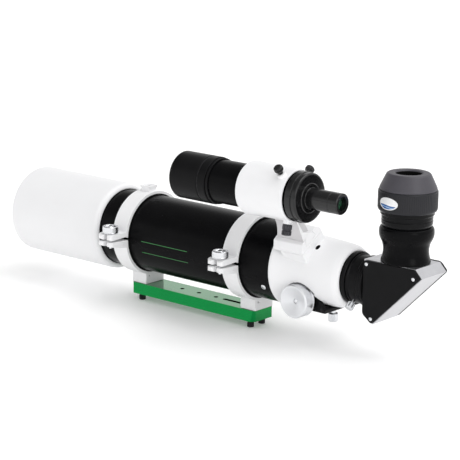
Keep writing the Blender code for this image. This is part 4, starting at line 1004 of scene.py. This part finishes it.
def build_finder():
    across = sideways(FINDER_ANGLE)
    out = outward(FINDER_ANGLE)
    radial_side = axes(ALONG_X, out)
    radial_end = axes(across, out)
    ring_low, ring_high = 147.0, 216.0
    ring_bottom = FINDER_DISTANCE - 30.5

    shoe_rim = [(-22.0, SHOE_BASE - 0.28), (22.0, SHOE_BASE - 0.28), (22.0, 54.0), (16.0, SHOE_TOP),
                (-16.0, SHOE_TOP), (-22.0, 54.0)]
    shoe = raw_prism("shoe_block", filleted(shoe_rim, 1.2, True, 3), SHOE_X[0], SHOE_X[1], OPTICAL_AXIS,
                     radial_end)
    channel = [(-10.6, 53.0), (10.6, 53.0), (7.8, 63.0), (-7.8, 63.0)]
    clamp_spot = OPTICAL_AXIS + out * 57.5 + Vector((164.0, 0.0, 0.0))
    carve(shoe, cut=[raw_prism("channel_cut", channel, 100.0, 300.0, OPTICAL_AXIS, radial_end),
                     raw_rod("shoe_screw_cut", 2.4, 5.0, 30.0, clamp_spot, across)])
    dressed(shoe, "finder_shoe", "cast_white", 0.6)

    bracket = raw_turned("bracket_body", filleted([
        (31.0, ring_high), (31.2, ring_high - 0.8), (32.4, ring_low + 0.8), (32.0, ring_low),
        (29.2, ring_low), (29.2, ring_high),
    ], 0.7, True, 4), FINDER_AXIS, ALONG_X, MEDIUM)
    foot = raw_prism("foot", [
        (-10.2, 53.4), (10.2, 53.4), (7.5, 62.7), (4.6, 62.9), (4.6, 64.4), (-6.5, 64.4), (-6.5, 62.9),
        (-7.5, 62.7),
    ], 161.0, 201.0, OPTICAL_AXIS, radial_end)
    stalk = raw_prism("stalk", [
        (160.0, 62.4), (200.5, 62.4), (201.0, ring_bottom), (157.0, ring_bottom), (162.4, 99.0),
        (165.6, 95.0), (167.0, 90.0), (167.0, 84.0), (165.6, 77.0), (163.0, 69.0),
    ], -20.0, 20.0, OPTICAL_AXIS, radial_side)
    stalk_end = raw_prism("stalk_end", [
        (-11.3, 60.0), (5.5, 60.0), (5.5, 106.0), (-5.2, 106.0), (-7.0, 92.0),
    ], 135.0, 225.0, OPTICAL_AXIS, radial_end)
    recess = raw_prism("recess_cut", [(-4.8, 71.5), (8.0, 61.0), (8.0, 99.0), (-4.4, 99.0), (-5.6, 92.0)],
                       197.5, 203.5, OPTICAL_AXIS, radial_end)
    carve(stalk, common=[stalk_end], cut=[recess])
    bosses = []
    holes = []
    for degrees in (36.0, -54.0, 171.0):
        way = outward(math.radians(degrees))
        screw_spot = FINDER_AXIS + ALONG_X * FINDER_SCREW_X
        boss = [(0.0, 35.0), (4.8, 35.0), (5.4, 34.5), (5.4, 30.2), (0.0, 30.2)]
        bosses.append(raw_turned("screw_boss", boss, screw_spot, way, FINE))
        holes.append(raw_rod("adjust_cut", 2.4, 20.0, 40.0, screw_spot, way, SMALL))
    carve(bracket, add=[foot, stalk, *bosses], cut=holes)
    dressed(bracket, "finder_bracket", "white_enamel", 0.6, lining="cast_rough_and_shade")
    # Painted shade: the stalk's near side and the recess in its end take the darker grey rough-cast finish,
    # which stands for the shade they fall in as well as the cast grain
    for face in bracket.data.polygons:
        spot = bracket.matrix_world @ face.center / MM - OPTICAL_AXIS
        height, offset = spot.dot(out), spot.dot(across)
        way = bracket.matrix_world.to_3x3() @ face.normal
        on_side = 64.0 < height < 98.0 and -11.5 < offset < -4.0 and abs(way.x) < 0.2
        in_recess = 64.0 < height < 99.0 and -6.0 < offset < 6.0 and 197.0 < spot.x < 199.0
        if on_side or in_recess:
            face.material_index = 1

    for node, degrees in (("finder_adjust_screw_near", 36.0), ("finder_adjust_screw_far", -54.0),
                          ("finder_spring_plunger", 171.0)):
        way = outward(math.radians(degrees))
        spot = FINDER_AXIS + ALONG_X * FINDER_SCREW_X
        if node.endswith("plunger"):
            outline = [
                (0.0, 48.5), (4.6, 48.5), (5.3, 48.3), (5.9, 47.6, 0.5), (5.9, 47.0, 1.0), (5.9, 43.0, 1.0),
                (5.2, 42.6), (5.2, 41.6), (5.9, 41.2, 1.0), (5.9, 36.4, 1.0), (5.8, 35.6), (5.4, 35.3),
                (2.0, 35.3), (2.0, 26.9), (0.0, 26.9),
            ]
            turned(node + "_cap", node, outline, spot, way, "smoked_chrome", FINE, 0.3, teeth=14, depth=0.6)
            continue
        turned(node + "_knob", node, [
            (0.0, 46.0), (2.8, 45.9), (4.6, 45.4), (5.5, 44.4, 0.5), (5.6, 43.6, 1.0), (5.6, 41.0, 1.0),
            (5.5, 40.4, 0.5), (4.8, 39.4), (3.2, 38.6), (3.2, 35.3), (2.0, 35.3), (2.0, 26.9), (0.0, 26.9),
        ], spot, way, "black_polish", FINE, 0.3, teeth=20, depth=0.4)

    turned("shoe_screw_knob", "finder_shoe_screw", [
        (0.0, 32.0), (4.6, 32.0), (5.4, 31.9), (6.3, 31.1, 0.5), (6.3, 30.5, 1.0), (6.3, 23.9, 1.0),
        (6.3, 23.3, 0.5), (5.6, 22.4), (1.9, 22.4), (1.9, 13.2), (0.0, 13.2),
    ], clamp_spot, across, "chrome", FINE, 0.25, teeth=26, depth=0.55)

    turned("finder_barrel", "finder_tube", [
        (25.0, 219.0), (FINDER_TUBE_R, 219.0), (FINDER_TUBE_R, 86.0), (25.0, 86.0),
    ], FINDER_AXIS, ALONG_X, "black_tube", LARGE, 0.3, lining="black_flat", lined_below=25.7)
    turned("lock_ring_band", "finder_lock_ring", [
        (26.7, 100.0), (27.9, 100.0), (28.3, 99.6, 0.6), (28.3, 99.2, 1.0), (28.3, 97.2, 1.0),
        (28.3, 96.8, 0.6), (27.9, 96.4), (26.7, 96.4),
    ], FINDER_AXIS, ALONG_X, "black_satin", MEDIUM, 0.15, teeth=80, depth=0.25)
    front = low_high("finder_objective_cell")[0].x
    turned("dew_cap_sleeve", "finder_objective_cell", [
        (26.7, 95.6), (28.4, 95.6), (29.1, 94.8), (29.1, 84.6), (28.2, 83.9), (28.2, 82.9), (29.1, 82.2),
        (29.1, front + 1.4), (28.3, front), (27.0, front), (26.4, front + 1.0), (26.4, 68.0), (25.2, 68.0),
        (25.2, 85.0), (26.7, 85.0),
    ], FINDER_AXIS, ALONG_X, "black_satin", LARGE, 0.4, lining="black_flat", lined_below=26.45)
    turned("groove_band", "finder_objective_cell", [
        (28.36, 83.75), (28.5, 83.65), (28.5, 83.1), (28.36, 83.0), (28.0, 83.0), (28.0, 83.75),
    ], FINDER_AXIS, ALONG_X, "dark_steel", LARGE, 0.0, stands_for=False)
    turned("finder_front_glass", "finder_objective_lens", [
        (0.0, 79.0), (8.0, 78.9), (15.0, 78.6), (20.0, 78.2), (24.9, 77.6), (24.9, 73.0), (20.0, 71.6),
        (15.0, 70.4), (8.0, 69.6), (0.0, 69.4),
    ], FINDER_AXIS, ALONG_X, "coated_glass", MEDIUM, 0.0)
    turned("rear_cell_rings", "finder_rear_cell", [
        (13.5, 235.2), (17.0, 235.2), (17.6, 234.8), (17.9, 234.4), (26.2, 234.4), (27.6, 234.3),
        (28.8, 233.7), (29.6, 232.6), (29.6, 228.2), (29.2, 227.8), (29.2, 227.3), (30.0, 227.1),
        (30.4, 226.6), (30.4, 219.6), (29.6, 218.8), (26.7, 218.8), (26.7, 219.4), (13.5, 219.4),
    ], FINDER_AXIS, ALONG_X, "black_polish", LARGE, 0.35)
    turned("finder_ocular", "finder_eyepiece", [
        (8.0, 281.0), (11.6, 281.0), (12.6, 280.0), (12.6, 268.6), (12.3, 268.2), (12.3, 267.6),
        (12.6, 267.2), (12.6, 236.6), (13.1, 236.2), (13.1, 222.0), (9.6, 222.0), (9.6, 274.0),
        (8.0, 275.0),
    ], FINDER_AXIS, ALONG_X, "black_polish", MEDIUM, 0.35)
    turned("finder_rear_glass", "finder_eye_lens", [
        (0.0, 273.2), (4.0, 273.1), (7.0, 272.9), (9.2, 272.6), (9.2, 268.8), (5.0, 268.2), (0.0, 268.0),
    ], FINDER_AXIS, ALONG_X, "coated_glass", FINE, 0.0)


def finish_hidden_nodes():
    """CAD nodes that stay take the full finish of their own slot."""
    slots = {}
    for entry in frame["record"]["subparts"]:
        slots[entry["node"]] = entry["material_slot"]
    for node, piece in frame["nodes"].items():
        piece.data.materials.clear()
        piece.data.materials.append(FINISHES[slots[node]])


# ---------------------------------------------------------------- studio

SKY_LEVEL = 0.94
FLAG_DEPTH = 0.62       # how much darker the flag is than the rest of the sky
FLOOR_GLOW = 0.16
SUN_STRENGTH = 1.05
SUN_WIDTH_DEGREES = 50.0
SUN_DIRECTION = Vector((-0.40, -0.25, -1.0))
SOFTBOX_SPOT = (2.1, -0.7, 0.9)
SOFTBOX_WATTS = 8.0
CAMERA_SPOT = Vector((1486.8, -1706.5, 642.9))
CAMERA_AZIMUTH = math.radians(40.15)
CAMERA_ELEVATION = math.radians(13.52)
CAMERA_ROLL = math.radians(0.94)
CAMERA_LENS = 142.0


def soft_light(name, location, aim, width, height, power):
    data = bpy.data.lights.new(name, "AREA")
    data.shape = "RECTANGLE"
    data.size = width
    data.size_y = height
    data.energy = power
    lamp = bpy.data.objects.new(name, data)
    bpy.context.scene.collection.objects.link(lamp)
    lamp.location = location
    lamp.rotation_euler = (Vector(aim) - Vector(location)).to_track_quat("-Z", "Y").to_euler()


def studio_sky():
    """White surround, with a darker flag overhead on the left so that black tubes keep deep sides."""
    world = bpy.data.worlds.new("studio")
    world.use_nodes = True
    tree = world.node_tree
    split = tree.nodes.new("ShaderNodeSeparateXYZ")
    tree.links.new(tree.nodes.new("ShaderNodeTexCoord").outputs["Generated"], split.inputs[0])

    def fade(axis, start, end):
        """0 to 1 as one part of the direction goes from start to end."""
        node = tree.nodes.new("ShaderNodeMapRange")
        node.interpolation_type = "SMOOTHSTEP"
        tree.links.new(split.outputs[axis], node.inputs["Value"])
        node.inputs["From Min"].default_value = start
        node.inputs["From Max"].default_value = end
        return node.outputs["Result"]

    def combined(operation, first, second):
        node = tree.nodes.new("ShaderNodeMath")
        node.operation = operation
        for socket, value in zip(node.inputs, (first, second)):
            if isinstance(value, float):
                socket.default_value = value
            else:
                tree.links.new(value, socket)
        return node.outputs[0]

    flag = combined("MULTIPLY", fade("X", -0.15, -0.5), fade("Z", 0.30, 0.55))
    flag = combined("MULTIPLY", flag, fade("Y", 0.75, 0.45))
    level = combined("SUBTRACT", SKY_LEVEL, combined("MULTIPLY", flag, FLAG_DEPTH))
    tree.links.new(level, tree.nodes["Background"].inputs["Strength"])
    tree.nodes["Background"].inputs["Color"].default_value = (1.0, 1.0, 1.0, 1.0)
    bpy.context.scene.world = world


def build_studio():
    floor_z = CAD_LOW.z - 0.0002
    floor = raw_block("studio_floor", (-9000.0, -9000.0, -10.0), (9000.0, 9000.0, 0.0),
                      (0.0, 0.0, floor_z / MM))
    floor.data.materials.append(finish("studio_paper", (0.93, 0.93, 0.93), 0.75, scale=300.0, height=0.02,
                                       mottle=0.004, Specular_IOR_Level=0.1, Emission_Strength=FLOOR_GLOW,
                                       Emission_Color=(1.0, 1.0, 1.0, 1.0)))
    studio_sky()

    sun = bpy.data.lights.new("overhead_sun", "SUN")
    sun.energy = SUN_STRENGTH
    sun.angle = math.radians(SUN_WIDTH_DEGREES)
    lamp = bpy.data.objects.new("overhead_sun", sun)
    bpy.context.scene.collection.objects.link(lamp)
    lamp.rotation_euler = SUN_DIRECTION.to_track_quat("-Z", "Y").to_euler()
    middle = (CAD_LOW + CAD_HIGH) / 2.0
    soft_light("right_softbox", SOFTBOX_SPOT, middle, 0.8, 1.2, SOFTBOX_WATTS)
    bpy.context.scene.view_settings.view_transform = "Standard"


def build_camera():
    """Camera at the photograph's viewing angle."""
    back = Vector((math.sin(CAMERA_AZIMUTH) * math.cos(CAMERA_ELEVATION),
                   -math.cos(CAMERA_AZIMUTH) * math.cos(CAMERA_ELEVATION), math.sin(CAMERA_ELEVATION)))
    flat_right = Vector((math.cos(CAMERA_AZIMUTH), math.sin(CAMERA_AZIMUTH), 0.0))
    flat_up = back.cross(flat_right)
    right = flat_right * math.cos(CAMERA_ROLL) + flat_up * math.sin(CAMERA_ROLL)
    up = flat_up * math.cos(CAMERA_ROLL) - flat_right * math.sin(CAMERA_ROLL)
    data = bpy.data.cameras.new("photo_camera")
    data.sensor_width = 36.0
    data.lens = CAMERA_LENS
    data.clip_start = 0.01
    data.clip_end = 60.0
    camera = bpy.data.objects.new("photo_camera", data)
    bpy.context.scene.collection.objects.link(camera)
    turn = Matrix((right, up, back)).transposed().to_4x4()
    camera.matrix_world = Matrix.Translation(CAMERA_SPOT * MM) @ turn
    bpy.context.scene.camera = camera


build_camera()
finish_hidden_nodes()
build_tube()
for which in RING_X:
    build_ring(which)
build_bar()
build_focuser()
build_drawtube()
build_diagonal()
build_eyepiece()
build_finder()
build_studio()
